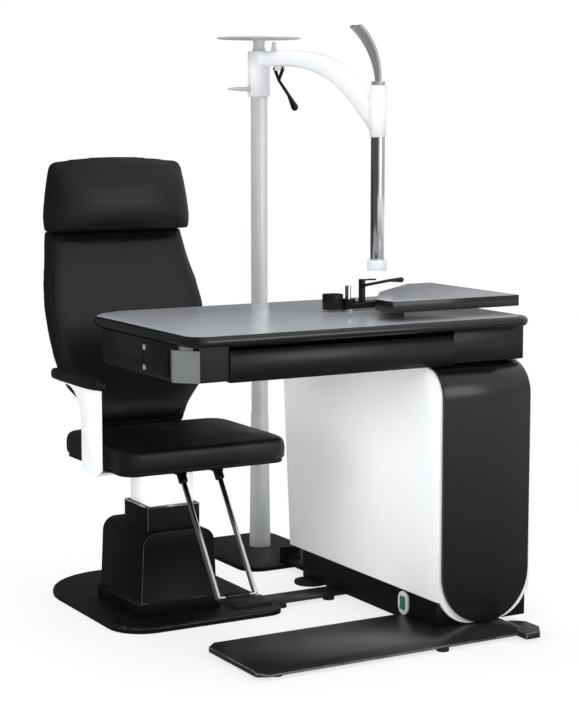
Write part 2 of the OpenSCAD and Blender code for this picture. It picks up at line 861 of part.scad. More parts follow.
module lift_spindle() {
    color([0.75, 0.76, 0.78]) translate([0, 0, spindle_z0])
        cylinder(d = spindle_d, h = post_z1 - post_cap - spindle_z0);
}

module swivel_bearing() {
    color([0.75, 0.76, 0.78]) {
        translate([0, 0, post_z1]) cylinder(d = bearing_d, h = bearing_t);
        translate([0, 0, post_z1]) cylinder(d = bearing_pin_d, h = bearing_t + slip + pan_t);
    }
}

// Seat

module seat_pan() {
    w = seat_w / 2 - pan_inset;
    r = 3 * pan_inset;
    color([0.1, 0.1, 0.1]) difference() {
        translate([0, 0, seat_z]) linear_extrude(pan_t)
            corner_rect(-w, -seat_front + pan_inset, w, seat_y + seat_d / 2 - pan_inset,
                [r, r, r, r]);
        translate([0, 0, seat_z - over]) cylinder(d = bearing_pin_d + 2 * run, h = pan_t + 2 * over);
    }
}

// One ring of the seat cushion at an inset and a height
function seat_ring(inset, z) = [for (i = [0:seat_n - 1])
    let (angle = 360 * i / seat_n,
        pull = seat_pull * pow(cos(2 * angle), 2),
        q = squircle(seat_w / 2 - inset - pull, seat_d / 2 - inset - pull, seat_p, angle))
    [q[0], seat_y + q[1], z]];

module seat_cushion() {
    color([0.14, 0.14, 0.14]) loft(concat(
        [for (s = seat_shares) seat_ring(s[0] * seat_bead, cushion_z + s[1] * seat_h)],
        [for (s = crown_shares) seat_ring(seat_bead + s[0] * (seat_d / 2 - seat_bead),
            cushion_z + seat_h + s[1] * seat_crown)]));
}

// Armrest on the side away from the desk

// Side outline of the bracket: a broad upright that sweeps back into a thin arm
module armrest_outline() {
    top = arm_z - arm_tip_t;
    difference() {
        union() {
            polygon([[-arm_front, top], [-arm_front, seat_z + pan_t],
                [arm_cut - arm_front, seat_z - strap_t], [arm_back - arm_cut, seat_z - strap_t],
                [arm_back, seat_z + pan_t], [arm_back, top]]);
            translate([-arm_front, top]) square([arm_tip_y + arm_front, arm_tip_t]);
            translate([arm_back, top - arm_sweep_r])
                square([arm_sweep_r, arm_sweep_r + arm_tip_t / 2]);
        }
        translate([arm_back + arm_sweep_r, top - arm_sweep_r]) circle(arm_sweep_r);
    }
}

module armrest_bracket() {
    color([0.93, 0.93, 0.93]) {
        translate([arm_x - arm_t / 2, 0, 0]) rotate([90, 0, 90]) linear_extrude(arm_t)
            armrest_outline();
        translate([arm_x - arm_t / 2, -arm_front + arm_w / 2 - strap_w / 2, seat_z - strap_t])
            cube([strap_l, strap_w, strap_t]);
    }
}

module arm_pad() {
    color([0.1, 0.1, 0.1]) translate([arm_x, pad_l / 2 - arm_front, arm_z + soft_gap])
        loft([for (s = pad_ring_shares)
            [for (i = [0:pad_n - 1])
                let (q = squircle(pad_w / 2 * (1 - s[0]), pad_l / 2 - s[0] * pad_w / 2, 4,
                    360 * i / pad_n))
                [q[0], q[1], s[1] * pad_t]]]);
}

// Footrest

// Draws a child with +Z along the rods, from the upper end down to the tread's hinge
module along_rods() {
    for (side = [-1, 1])
        translate([side * rod_x, -rod_y0, rod_z0]) rotate([180 - rod_lean, 0, 0]) children();
}

module footrest_brackets() {
    color([0.15, 0.15, 0.15]) difference() {
        union() {
            along_rods() translate([0, 0, -rod_d]) cylinder(d = knuckle_d, h = rod_l * knuckle_share);
            for (side = [-1, 1])
                translate([side * rod_x - knuckle_d / 2, -rod_y0 - rod_d / 2, rod_z0])
                    cube([knuckle_d, rod_y0 * 0.3, seat_z - rod_z0]);
        }
        along_rods() cylinder(d = rod_d, h = rod_l);
        translate([-seat_w / 2, -seat_front, seat_z]) cube([seat_w, seat_d, seat_h]);
    }
}

module footrest_rods() {
    color([0.7, 0.71, 0.72]) {
        along_rods() cylinder(d = rod_d, h = rod_l);
        translate([-rod_x, -rod_y1, tread_z]) rotate([0, 90, 0])
            cylinder(d = tread_bar_d, h = rod_gap);
    }
}

module footrest_tread() {
    color([0.1, 0.1, 0.1]) difference() {
        union() {
            translate([-tread_barrel_l / 2, -rod_y1, tread_z]) rotate([0, 90, 0])
                cylinder(d = tread_barrel_d, h = tread_barrel_l);
            translate([-tread_barrel_l / 2, -rod_y1 - tread_barrel_d / 2, tread_z - tread_barrel_d / 2])
                cube([tread_barrel_l, tread_barrel_d / 2, tread_barrel_d / 2]);
            translate([0, -rod_y1 - tread_barrel_d / 2 - rod_d / 2, tread_z - tread_barrel_d / 2])
                linear_extrude(tread_t)
                corner_rect(-tread_w / 2, -tread_d, tread_w / 2, 0,
                    [tread_t, tread_t, tread_t / 2, tread_t / 2]);
            translate([-tread_barrel_l / 2, -rod_y1 - tread_barrel_d / 2 - rod_d,
                tread_z - tread_barrel_d / 2])
                cube([tread_barrel_l, rod_d, tread_t]);
        }
        translate([-rod_gap, -rod_y1, tread_z]) rotate([0, 90, 0])
            cylinder(d = tread_bar_d + 2 * run, h = 2 * rod_gap);
    }
}

// Backrest

module recline_hinge() {
    strap_y = bearing_d / 2 + ear_t;
    color([0.12, 0.12, 0.12]) {
        translate([-ear_x - ear_t, strap_y, seat_z - ear_t])
            cube([2 * (ear_x + ear_t), hinge_y + barrel_d / 2 - strap_y, ear_t]);
        for (side = [-1, 1])
            translate([side * (ear_x + ear_t / 2) - ear_t / 2, hinge_y, 0]) rotate([90, 0, 90])
                linear_extrude(ear_t) {
                    translate([0, hinge_z]) circle(d = barrel_d);
                    translate([-barrel_d / 2, seat_z - ear_t])
                        square([barrel_d, hinge_z - seat_z + ear_t]);
                }
        translate([-ear_x, hinge_y, hinge_z]) rotate([0, 90, 0])
            cylinder(d = pin_d, h = 2 * ear_x);
    }
}

// Half width of the backrest's outline at a share of its height
function back_half(t) = let (last = len(back_shares) - 1) t > back_shares[last][0]
    ? back_wide + (back_neck - back_wide)
        * smooth((t - back_shares[last][0]) / (1 - back_shares[last][0]))
    : back_waist + (back_wide - back_waist) * lookup(t, back_shares);

// One horizontal ring of the back cushion
function back_ring(t, inset, z) = [for (i = [0:back_n - 1])
    let (q = squircle(back_half(t) - inset * back_t, back_t / 2 * (1 - inset), back_p,
        360 * i / back_n))
    [q[0], back_mid(z) + q[1] - back_wrap * pow(q[0] / back_wide, 2), z]];

module backrest_cushion() {
    color([0.14, 0.14, 0.14]) loft([for (s = back_ring_shares)
        back_ring(s[0], s[1], back_z0 + s[0] * back_rise)]);
}

// Places a child drawn with z up along the lean of the back, y behind it
module on_back() {
    translate([0, back_y, back_z0]) rotate([-back_lean, 0, 0]) children();
}

// Outline of the shell plate seen from the front
function shell_outline(z0, z1) = let (n = 8,
    right = [for (i = [0:n]) let (z = z0 + (z1 - z0) * i / n)
        [back_half(z / back_len) - back_t / 2, z]])
    concat(right, [for (i = [n:-1:0]) [-right[i][0], right[i][1]]]);

// Shell behind the cushion, the barrel at its foot and the headrest's guides
module backrest_shell() {
    low = back_t / 2;
    high = back_len - shell_gap;
    stem_x = ear_x - slip;
    color([0.1, 0.1, 0.1]) difference() {
        union() {
            translate([-stem_x, hinge_y, hinge_z]) rotate([0, 90, 0])
                cylinder(d = barrel_d, h = 2 * stem_x);
            // Stem from the barrel up behind the cushion
            translate([-stem_x, 0, 0]) rotate([90, 0, 90]) linear_extrude(2 * stem_x)
                polygon([[hinge_y - barrel_d * 0.1, hinge_z + barrel_d * 0.3],
                    [hinge_y + barrel_d / 2, hinge_z],
                    [back_mid(back_z0 + back_t * 2) + back_t / 2 + shell_t, back_z0 + back_t * 2],
                    [back_mid(back_z0 + back_t) + back_t / 2 + shell_t / 2, back_z0 + back_t],
                    [back_mid(back_z0) + back_t / 2 + shell_t / 4, back_z0 - shell_t / 2]]);
            on_back() {
                translate([0, shell_y + shell_t, 0]) rotate([90, 0, 0]) linear_extrude(shell_t)
                    polygon(shell_outline(low, high));
                for (side = [-1, 1]) translate([side * head_post_x, head_post_y, guide_z])
                    cylinder(d = guide_d, h = guide_l);
            }
        }
        translate([-stem_x - over, hinge_y, hinge_z]) rotate([0, 90, 0])
            cylinder(d = pin_d + 2 * run, h = 2 * (stem_x + over));
        on_back() for (side = [-1, 1])
            translate([side * head_post_x, head_post_y, guide_z - over])
            cylinder(d = head_post_d + 2 * run, h = guide_l + 2 * over);
    }
}

// Middle of the headrest's thickness, and its back face with a gap behind it
function head_mid(z) = back_mid(head_z0) - head_lead + (z - head_z0) * tan(head_lean);
function head_back(z) = head_mid(z) + head_t / 2 * head_back_share + soft_gap;

module headrest_cushion() {
    rise = head_top - head_z0 - head_arch;
    color([0.14, 0.14, 0.14]) loft([for (s = head_ring_shares)
        [for (i = [0:head_n - 1])
            let (q = squircle(head_w * (1 - s[1]), head_t / 2 * s[2], head_p, 360 * i / head_n),
                arch = head_arch * (1 - pow(q[0] / head_w, 2)) * smooth(s[0]),
                z = head_z0 + s[0] * rise + arch)
            [q[0], head_mid(z) + q[1], z]]]);
}

// Posts that slide in the shell's guides, with the plate that carries the headrest
module headrest_posts() {
    color([0.7, 0.71, 0.72]) {
        on_back() for (side = [-1, 1]) translate([side * head_post_x, head_post_y, head_post_z0])
            cylinder(d = head_post_d, h = head_post_z1 - head_post_z0);
        for (side = [-1, 1]) translate([side * head_post_x - head_arm_w / 2, 0, 0])
            rotate([90, 0, 90]) linear_extrude(head_arm_w)
            polygon([for (p = [[0, head_plate_z], [1, head_plate_z], [1, head_arm_z1],
                    [0, head_arm_z1]])
                [p[0] == 0 ? head_back(p[1]) + head_plate_t / 2
                    : back_mid(p[1]) + head_post_y / cos(back_lean), p[1]]]);
        translate([-head_plate_w / 2, 0, 0]) rotate([90, 0, 90]) linear_extrude(head_plate_w)
            polygon([for (p = [[0, head_plate_z], [head_plate_t, head_plate_z],
                    [head_plate_t, head_plate_z + head_plate_h], [0, head_plate_z + head_plate_h]])
                [head_back(p[1]) + p[0], p[1]]]);
    }
}

// Cabinet

module cabinet_plinth() {
    color([0.12, 0.12, 0.12]) difference() {
        translate([cab_x + plinth_inset, plinth_y0, foot_h])
            cube([cab_w - 2 * plinth_inset, plinth_d, plinth_top - foot_h]);
        translate([cab_x + plinth_inset + sheet, plinth_y0 + sheet, -over])
            cube([cab_w - 2 * plinth_inset - 2 * sheet, plinth_d - 2 * sheet,
                plinth_top - sheet + over]);
        // Notch over the outrigger
        translate([cab_x - over, plinth_y0 - over, -over])
            cube([cab_w + 2 * over, out_y1 - plinth_y0 + over, out_z1 + over]);
    }
}

// Side outline of the cabinet: raked back and round top front
module cabinet_side() {
    difference() {
        polygon([[face_y0 + fascia_step, plinth_top], [panel_y1, plinth_top],
            [panel_y1 + panel_rake, cab_top], [desk_y0 + front_t, cab_top],
            [desk_y0 + front_t, fascia_top], [face_y0 + fascia_step, fascia_top]]);
        corner_cut(face_y0 + fascia_step, fascia_top, 270, roll_r);
    }
}

module side_panel(x) {
    color([0.93, 0.94, 0.94]) translate([x, 0, 0]) rotate([90, 0, 90])
        linear_extrude(panel_t) cabinet_side();
}

module left_side_panel() {
    side_panel(cab_x);
}

module right_side_panel() {
    side_panel(cab_x1 - panel_t);
}

// Welded frame of four posts and three shelves
module cabinet_frame() {
    x0 = cab_x + panel_t;
    w = cab_w - 2 * panel_t;
    y0 = roll_y + roll_run;
    d = panel_y1 - panel_t - y0;
    color([0.5, 0.5, 0.5]) {
        for (z = [plinth_top, cab_top / 2, cab_top - sheet])
            translate([x0, y0, z]) cube([w, d, sheet]);
        for (p = [[0, 0], [1, 0], [0, 1], [1, 1]])
            translate([x0 + p[0] * (w - frame_post), y0 + p[1] * (d - frame_post), plinth_top])
                cube([frame_post, frame_post, cab_top - plinth_top]);
    }
}

// Front view outline with round lower corners
module front_outline(x0, x1, top, r) {
    difference() {
        translate([x0, cab_z0]) square([x1 - x0, top - cab_z0]);
        corner_cut(x0, cab_z0, 0, r);
        corner_cut(x1, cab_z0, 90, r);
    }
}

// Section of the fascia: an upright sheet that rolls back at its top
module fascia_section() {
    translate([face_y0, cab_z0]) square([fascia_t, roll_z - cab_z0]);
    translate([roll_y, fascia_top - fascia_t]) square([roll_run, fascia_t]);
    intersection() {
        difference() {
            translate([roll_y, roll_z]) circle(roll_r);
            translate([roll_y, roll_z]) circle(roll_r - fascia_t);
        }
        translate([face_y0, roll_z]) square(roll_r);
    }
}

module front_fascia() {
    x0 = cab_x + panel_t;
    x1 = cab_x1 - panel_t;
    color([0.11, 0.12, 0.13]) intersection() {
        translate([0, plinth_y1, 0]) rotate([90, 0, 0]) linear_extrude(plinth_d + roll_r)
            front_outline(x0, x1, cab_top, fascia_r);
        translate([x0, 0, 0]) rotate([90, 0, 90]) linear_extrude(x1 - x0) fascia_section();
    }
}

// White plate behind the fascia that shows as a crescent at its lower corners
module fascia_rim() {
    color([0.93, 0.94, 0.94]) translate([0, plinth_y0, 0]) rotate([90, 0, 0])
        linear_extrude(rim_t) difference() {
            front_outline(cab_x, cab_x1, roll_z, rim_r);
            for (x = [cab_x - over, cab_x1 - panel_t])
                translate([x, plinth_top]) square([panel_t + over, cab_top]);
        }
}

module rear_panel() {
    color([0.93, 0.94, 0.94]) translate([cab_x + panel_t, 0, 0]) rotate([90, 0, 90])
        linear_extrude(cab_w - 2 * panel_t)
        polygon([[panel_y1 - panel_t, plinth_top], [panel_y1, plinth_top],
            [panel_y1 + panel_rake, cab_top], [panel_y1 + panel_rake - panel_t, cab_top]]);
}

// Outline with round ends, width w along the first axis and height h along the second
module stadium(w, h) {
    translate([-w / 2, -(h - w) / 2]) square([w, h - w]);
    for (end = [-1, 1]) translate([0, end * (h - w) / 2]) circle(d = w);
}

module switch_bezel() {
    color([0.75, 0.78, 0.78]) {
        translate([cab_x + plinth_inset, switch_y, switch_z]) rotate([90, 0, -90]) difference() {
            linear_extrude(switch_out) stadium(switch_w, switch_h);
            translate([-rocker_w / 2 - slip, -rocker_h / 2 - slip, over])
                cube([rocker_w + 2 * slip, rocker_h + 2 * slip, switch_out]);
        }
        // Pin that the rocker tilts on
        translate([rocker_pin_x, switch_y + switch_w / 3, switch_z]) rotate([90, 0, 0])
            cylinder(d = rocker_pin_d, h = switch_w * 2 / 3);
    }
}

module power_rocker() {
    x = cab_x + plinth_inset - switch_out;
    h = rocker_h / 2 - over;
    color([0.15, 0.35, 0.3]) translate([0, switch_y + rocker_w / 2, switch_z])
        rotate([90, 0, 0]) linear_extrude(rocker_w) difference() {
            polygon([[x + switch_out - over - slip, 0], [x + rocker_tilt, h], [x - rocker_out, h],
                [x - rocker_out + rocker_tilt, 0], [x - rocker_out, -h], [x + rocker_tilt, -h]]);
            translate([rocker_pin_x, 0]) circle(d = rocker_pin_d + 2 * run);
        }
}

// Desk

// Plan of the desk's carcass with its cut front left corner
module desk_plan() {
    y0 = desk_y0 + front_t;
    polygon([[desk_x0, y0 + desk_cut], [desk_x0 + desk_cut, y0], [desk_x1, y0],
        [desk_x1, desk_back], [desk_x0 + back_cut / 2, desk_back],
        [desk_x0, desk_back - back_cut]]);
}

module desk_carcass() {
    color([0.24, 0.25, 0.26]) difference() {
        translate([0, 0, desk_z]) linear_extrude(desk_h) desk_plan();
        // Hollow beside, behind and inside the drawer bay
        translate([desk_x0 + sheet, desk_y0 + front_t + desk_cut + sheet, desk_z + sheet])
            cube([drawer_x - 2 * sheet, desk_front + desk_back - front_t - desk_cut - back_cut
                - 2 * sheet, desk_h]);
        translate([drawer_x0, desk_y0 + front_t - over, desk_z + sheet])
            cube([drawer_w, bay_y1 - desk_y0 - front_t + over, desk_h]);
        translate([drawer_x0, bay_y1 + sheet, desk_z + sheet])
            cube([drawer_w, desk_back - bay_y1 - 2 * sheet, desk_h]);
        translate([drawer_x1 + sheet, desk_y0 + front_t + sheet, desk_z + sheet])
            cube([desk_x1 - drawer_x1 - 2 * sheet, desk_front + desk_back - front_t - 2 * sheet,
                desk_h]);
    }
}

// Slab with a fully rounded edge
module bullnose(x0, y0, x1, y1, r, t) {
    hull() for (p = [[x0 + r[0], y0 + r[0], r[0]], [x1 - r[1], y0 + r[1], r[1]],
            [x1 - r[2], y1 - r[2], r[2]], [x0 + r[3], y1 - r[3], r[3]]])
        translate([p[0], p[1], 0]) rotate_extrude($fn = hull_fn) {
            square([p[2] - t / 2, t]);
            translate([p[2] - t / 2, t / 2]) circle(d = t, $fn = hull_fn / 2);
        }
}

module desk_top() {
    color([0.5, 0.52, 0.54]) translate([0, 0, desk_z1])
        bullnose(desk_x0 - top_left, desk_y0 - top_front, desk_x1 + top_left,
            desk_back + top_back, [top_r, top_r, top_r, top_back_r], top_t);
}

module desk_left_front() {
    color([0.24, 0.25, 0.26])
        translate([desk_x0 + desk_cut, desk_y0, desk_z])
        cube([drawer_x - desk_cut - drawer_gap, front_t, desk_h]);
}

module desk_right_front() {
    color([0.28, 0.29, 0.3])
        translate([drawer_x1 + drawer_gap, desk_y0, desk_z])
        cube([desk_x1 - drawer_x1 - drawer_gap, front_t, desk_h]);
}

// Angled aluminium post over the cut corner, with its small key above
module corner_post() {
    t = post_plate;
    color([0.68, 0.69, 0.7]) translate([0, 0, desk_z]) {
        linear_extrude(desk_h - key_h / 2)
            polygon([[desk_x0, desk_y0 + desk_cut + front_t],
                [desk_x0 - t, desk_y0 + desk_cut + front_t], [desk_x0 - t, desk_y0 + desk_cut],
                [desk_x0 + desk_cut, desk_y0 - t], [desk_x0 + desk_cut, desk_y0 + front_t]]);
        translate([0, 0, desk_h - key_h / 2]) linear_extrude(key_h / 2)
            polygon([[desk_x0 + desk_cut / 4, desk_y0 + desk_cut * 0.75 + front_t],
                [desk_x0 + desk_cut / 4, desk_y0 + desk_cut * 0.75],
                [desk_x0 + desk_cut * 0.75, desk_y0 + desk_cut / 4],
                [desk_x0 + desk_cut * 0.75, desk_y0 + desk_cut / 4 + front_t]]);
    }
}

module control_panel() {
    color([0.16, 0.17, 0.18]) difference() {
        translate([desk_x0 - ctrl_t, ctrl_y0, ctrl_z0]) cube([ctrl_t, ctrl_l, ctrl_z1 - ctrl_z0]);
        for (z = button_heights) translate([desk_x0 - ctrl_t - over, ctrl_y0 + ctrl_l - button_d, z])
            rotate([0, 90, 0]) cylinder(d = button_d + 2 * run, h = ctrl_t + 2 * over);
    }
}

module panel_button(z) {
    color([0.85, 0.86, 0.87])
        translate([desk_x0 - ctrl_t - button_travel, ctrl_y0 + ctrl_l - button_d, z])
        rotate([0, 90, 0]) cylinder(d = button_d, h = ctrl_t - soft_gap);
}

module panel_button_up() {
    panel_button(button_heights[1]);
}

module panel_button_down() {
    panel_button(button_heights[0]);
}

module drawer_front() {
    color([0.2, 0.21, 0.22])
        translate([drawer_x0, desk_y0 - drawer_lip, desk_z - drawer_lip])
        cube([drawer_w, front_t + drawer_lip - slip, desk_h - key_h / 2]);
}

module drawer_tub() {
    y0 = desk_y0 + front_t - slip;
    color([0.55, 0.56, 0.57]) difference() {
        translate([tub_x0, y0, tub_z0]) cube([tub_x1 - tub_x0, tub_d, tub_h]);
        translate([tub_x0 + tub_wall, y0 + tub_wall, tub_z0 + tub_wall])
            cube([tub_x1 - tub_x0 - 2 * tub_wall, tub_d - 2 * tub_wall, tub_h]);
    }
}

module drawer_runners() {
    color([0.75, 0.76, 0.77])
        for (x = [drawer_x0, drawer_x1 - runner_t])
            translate([x, desk_y0 + front_t + slip, tub_z0 + tub_h / 2 - runner_h / 2])
                cube([runner_t, tub_d, runner_h]);
}

// Pole

module pole() {
    color([0.8, 0.81, 0.81]) translate([pole_x, pole_y, rear_t]) difference() {
        cylinder(d = pole_d, h = pole_top - rear_t);
        // Bore that leaves the top closed
        translate([0, 0, -over])
            cylinder(d = pole_d - 2 * pole_wall, h = pole_top - rear_t - pole_wall + over);
    }
}

module pole_sleeve() {
    color([0.82, 0.83, 0.83]) translate([pole_x, pole_y, rear_t]) difference() {
        cylinder(d1 = sleeve_d, d2 = pole_d + pole_wall, h = sleeve_h);
        translate([0, 0, -over]) cylinder(d = pole_d, h = sleeve_h + 2 * over);
    }
}

module shelf_spool() {
    color([0.75, 0.76, 0.78]) translate([pole_x, pole_y, pole_top])
        rotate_extrude() difference() {
            square([spool_d / 2, spool_h]);
            translate([spool_d / 2 + spool_h * 0.9, spool_h / 2]) circle(r = spool_h);
        }
}

module projector_shelf() {
    color([0.7, 0.71, 0.72]) translate([pole_x, pole_y, pole_top + spool_h])
        cylinder(d = shelf_d, h = shelf_t);
}

// Swan neck arm

arm_curve = [[hub_d / 4, neck_z], [arm_reach * 0.49, neck_z], [arm_reach * 0.685, neck_z - neck_dip],
    [arm_reach, tube_sleeve_z + tube_sleeve_h * 0.26]];

// One ring of the arm's section, square to its curve
function neck_ring(t) = let (c = bezier(arm_curve, t), s = bezier_slope(arm_curve, t),
    d = s / norm(s), h = neck_h + (elbow_h - neck_h) * smooth(min(1, t * 1.25)), n = 20)
    [for (i = [0:n - 1]) let (q = squircle(neck_w / 2, h / 2, 2.8, 360 * i / n))
        [c[0] - q[1] * d[1], q[0], c[1] + q[1] * d[0]]];

module swan_neck_arm() {
    color([0.93, 0.93, 0.93]) on_arm() {
        difference() {
            union() {
                loft([for (i = [0:16]) neck_ring(i / 16)]);
                translate([0, 0, hub_z0]) cylinder(d = hub_d, h = hub_h);
                translate([arm_reach, 0, tube_sleeve_z]) cylinder(d = tube_sleeve_d, h = tube_sleeve_h);
                // Lug and pin under the arm that carry the brake lever's yoke
                translate([lug_s - lug_l / 2, -yoke_t / 2, lug_z - yoke_pin_d])
                    cube([lug_l, yoke_t, lug_h]);
                translate([lug_s - lug_l / 2 - yoke_t, 0, lug_z]) rotate([0, 90, 0])
                    cylinder(d = yoke_pin_d, h = lug_l + 2 * yoke_t);
            }
            translate([0, 0, hub_z0 - over]) cylinder(d = pole_d + 2 * run, h = hub_h + 2 * over);
            translate([arm_reach, 0, tube_sleeve_z - over])
                cylinder(d = tube_d + 2 * run, h = tube_sleeve_h - cap_t + over);
            translate([arm_reach, 0, sleeve_z1 - cap_t - over])
                cylinder(d = lamp_pin_d + 2 * run, h = cap_t + 2 * over);
            // Bore for the clamp lever's pin
            rotate([0, 0, 90 - arm_turn]) translate([-pole_d / 2, 0, clamp_z]) rotate([0, -90, 0])
                cylinder(d = clamp_pin_d + 2 * run, h = hub_d / 2);
        }
    }
}

module clamp_lever() {
    color([0.6, 0.61, 0.6]) translate([pole_x - hub_d / 2 - slip, pole_y, clamp_z])
        rotate([0, -90, 0]) {
            rotate_extrude() polygon([[0, 0], [clamp_rings[0], 0], [clamp_rings[0], clamp_steps[0]],
                [clamp_rings[1], clamp_steps[1]], [clamp_rings[2], clamp_steps[2]],
                [clamp_rings[3], clamp_l], [0, clamp_l]]);
            translate([0, 0, -clamp_pin_l]) cylinder(d = clamp_pin_d, h = clamp_pin_l + over);
        }
}

// Stop knob that stands on the arm beside the hub
module arm_knob() {
    color([0.6, 0.61, 0.6]) on_arm() translate([knob_s, 0, neck_z + neck_h / 2 - over])
        cylinder(d1 = knob_d[0], d2 = knob_d[1], h = knob_h + over);
}

module brake_lever() {
    color([0.08, 0.08, 0.08]) on_arm() translate([lug_s, 0, lug_z]) difference() {
        union() {
            for (side = [-1, 1]) hull() {
                translate([side * (lug_l / 2 + yoke_t / 2 + slip), 0, 0])
                    sphere(d = yoke_eye_d, $fn = hull_fn / 2);
                translate([0, 0, -yoke_drop]) sphere(d = yoke_t, $fn = hull_fn / 2);
            }
            hull() {
                translate([0, 0, -yoke_drop]) sphere(d = yoke_t, $fn = hull_fn / 2);
                translate([grip_s[0], 0, grip_z[0]]) sphere(d = grip_d[0], $fn = hull_fn / 2);
            }
            hull() {
                translate([grip_s[0], 0, grip_z[0]]) sphere(d = grip_d[0], $fn = hull_fn / 2);
                translate([grip_s[1], 0, grip_z[1]]) sphere(d = grip_d[1], $fn = hull_fn / 2);
            }
        }
        translate([-lug_l, 0, 0]) rotate([0, 90, 0])
            cylinder(d = yoke_pin_d + 2 * run, h = 2 * lug_l);
        // Room for the lug between the yoke's ears
        translate([-lug_l / 2 - slip, 0, 0]) rotate([0, 90, 0])
            cylinder(r = norm([yoke_pin_d, yoke_t / 2]) + slip, h = lug_l + 2 * slip);
    }
}

module hanging_tube() {
    color([0.7, 0.71, 0.72]) on_arm() translate([arm_reach, 0, tube_z]) difference() {
        cylinder(d = tube_d, h = tube_z1 - tube_z);
        translate([0, 0, -over]) cylinder(d = tube_d - 2 * pole_wall, h = tube_z1);
    }
}

module tube_head() {
    color([0.93, 0.93, 0.93]) on_arm() translate([arm_reach, 0, tube_z - head_h]) difference() {
        cylinder(d = head_d, h = head_h);
        translate([0, 0, -over]) cylinder(d = socket_d, h = socket_h + over);
    }
}

// Curved blade that leans to the patient's side, wider at its tip
module lamp_blade() {
    foot_w = lamp_base_d / 2;
    color([0.62, 0.63, 0.64]) on_arm() translate([arm_reach, 0, sleeve_z1 + slip]) {
        cylinder(d = lamp_base_d, h = lamp_base_h);
        translate([0, 0, -cap_t - slip]) cylinder(d = lamp_pin_d, h = cap_t + slip + lamp_base_h);
        intersection() {
            translate([0, -lamp_r, lamp_base_h / 2]) rotate([90, 0, 90])
                rotate_extrude(angle = lamp_sweep)
                translate([lamp_r - lamp_t / 2, -lamp_w / 2]) square([lamp_t, lamp_w]);
            translate([0, lamp_r, 0]) rotate([90, 0, 0]) linear_extrude(2 * lamp_r)
                polygon([[-foot_w / 2, 0], [foot_w / 2, 0], [lamp_w / 2, lamp_rise],
                    [lamp_w / 2, 2 * lamp_rise], [-lamp_w / 2, 2 * lamp_rise],
                    [-lamp_w / 2, lamp_rise]]);
        }
    }
}

// Instrument tray

// Plan of the slab with its cut back left side
module slab_plan() {
    polygon(concat([[slab_x0, slab_y0], [slab_x1, slab_y0], [slab_x1, slab_y1]],
        [for (i = [2:-1:0]) [slab_x0 + slab_cut_shares[i][0] * slab_w,
            slab_y0 + slab_cut_shares[i][1] * slab_d]]));
}

module tray_slab() {
    color([0.3, 0.31, 0.32]) translate([0, 0, slab_z0]) linear_extrude(slab_t) slab_plan();
}

module tray_post() {
    color([0.85, 0.86, 0.87]) translate([tray_px, -tray_py, desk_top_z]) {
        cylinder(d = tray_hub_d, h = tray_foot_t);
        cylinder(d = tray_post_d, h = tray_post_h);
    }
}

module tray_arm() {
    color([0.1, 0.1, 0.1]) difference() {
        union() {
            translate([tray_px, -tray_py, arm_z0]) {
                cylinder(d = tray_hub_d, h = slab_z0 - arm_z0 + lever_pin_d);
                translate([0, -tray_bar_w / 2, 0])
                    cube([tray_bar_l, tray_bar_w, slab_z0 - arm_z0]);
                // Ledge under the cup
                translate([cup_x - tray_px, -tray_post_d / 2, 0])
                    cube([tray_px - cup_x, tray_post_d, ledge_t]);
                translate([cup_x - tray_px, 0, 0]) cylinder(d = cup_d, h = ledge_t);
            }
            translate([lever_x, -tray_py, slab_z0 - over])
                cylinder(d = lever_pin_d, h = lever_post_top - slab_z0 + over);
            translate([lever_x, -tray_py, slab_z0 - over])
                cylinder(d = 2 * lever_pin_d, h = lever_z - slab_z0 - slip + over);
        }
        translate([tray_px, -tray_py, desk_top_z])
            cylinder(d = tray_post_d + 2 * run, h = tray_post_h);
    }
}

module cup_holder() {
    color([0.15, 0.15, 0.15]) translate([cup_x, -tray_py, arm_z0 + ledge_t]) difference() {
        cylinder(d = cup_d, h = cup_h);
        translate([0, 0, cup_wall]) cylinder(d = cup_d - 2 * cup_wall, h = cup_h);
    }
}

// Long release lever with a paddle, and the short clamp lever above it
module tray_lever() {
    color([0.08, 0.08, 0.08]) translate([lever_x, -tray_py, lever_z]) difference() {
        union() {
            cylinder(d = 2 * lever_pin_d, h = lever_h);
            hull() {
                translate([0, 0, lever_arm_d / 2 + slip]) sphere(d = lever_arm_d, $fn = hull_fn / 2);
                translate([lever_l * 0.7, 0, lever_lift]) sphere(d = lever_arm_d, $fn = hull_fn / 2);
            }
            hull() {
                translate([lever_l * 0.7, 0, lever_lift]) sphere(d = lever_arm_d, $fn = hull_fn / 2);
                translate([lever_l, 0, lever_lift]) sphere(d = lever_tip_d, $fn = hull_fn / 2);
            }
            hull() for (x = [0, lever_short]) translate([x, 0, lever_h - lever_arm_d / 2])
                cylinder(d = lever_arm_d, h = lever_arm_d / 2, $fn = hull_fn / 2);
        }
        translate([0, 0, -over]) cylinder(d = lever_pin_d + 2 * run, h = lever_h);
    }
}

chair_base_plate();
link_beam();
outrigger_plate();
rear_base_plate();
levelling_feet();
rear_bracket();
column_lower_shroud();
column_mid_stage();
lift_post();
lift_actuator();
lift_spindle();
swivel_bearing();
seat_pan();
seat_cushion();
armrest_bracket();
arm_pad();
footrest_brackets();
footrest_rods();
footrest_tread();
recline_hinge();
backrest_shell();
backrest_cushion();
headrest_posts();
headrest_cushion();
cabinet_plinth();
cabinet_frame();
left_side_panel();
right_side_panel();
fascia_rim();
front_fascia();
rear_panel();
switch_bezel();
power_rocker();
desk_carcass();
desk_top();
desk_left_front();
desk_right_front();
corner_post();
control_panel();
panel_button_up();
panel_button_down();
drawer_front();
drawer_tub();
drawer_runners();
pole();
pole_sleeve();
shelf_spool();
projector_shelf();
swan_neck_arm();
arm_knob();
clamp_lever();
brake_lever();
hanging_tube();
tube_head();
lamp_blade();
tray_post();
tray_arm();
tray_slab();
tray_lever();
cup_holder();
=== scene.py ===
import math

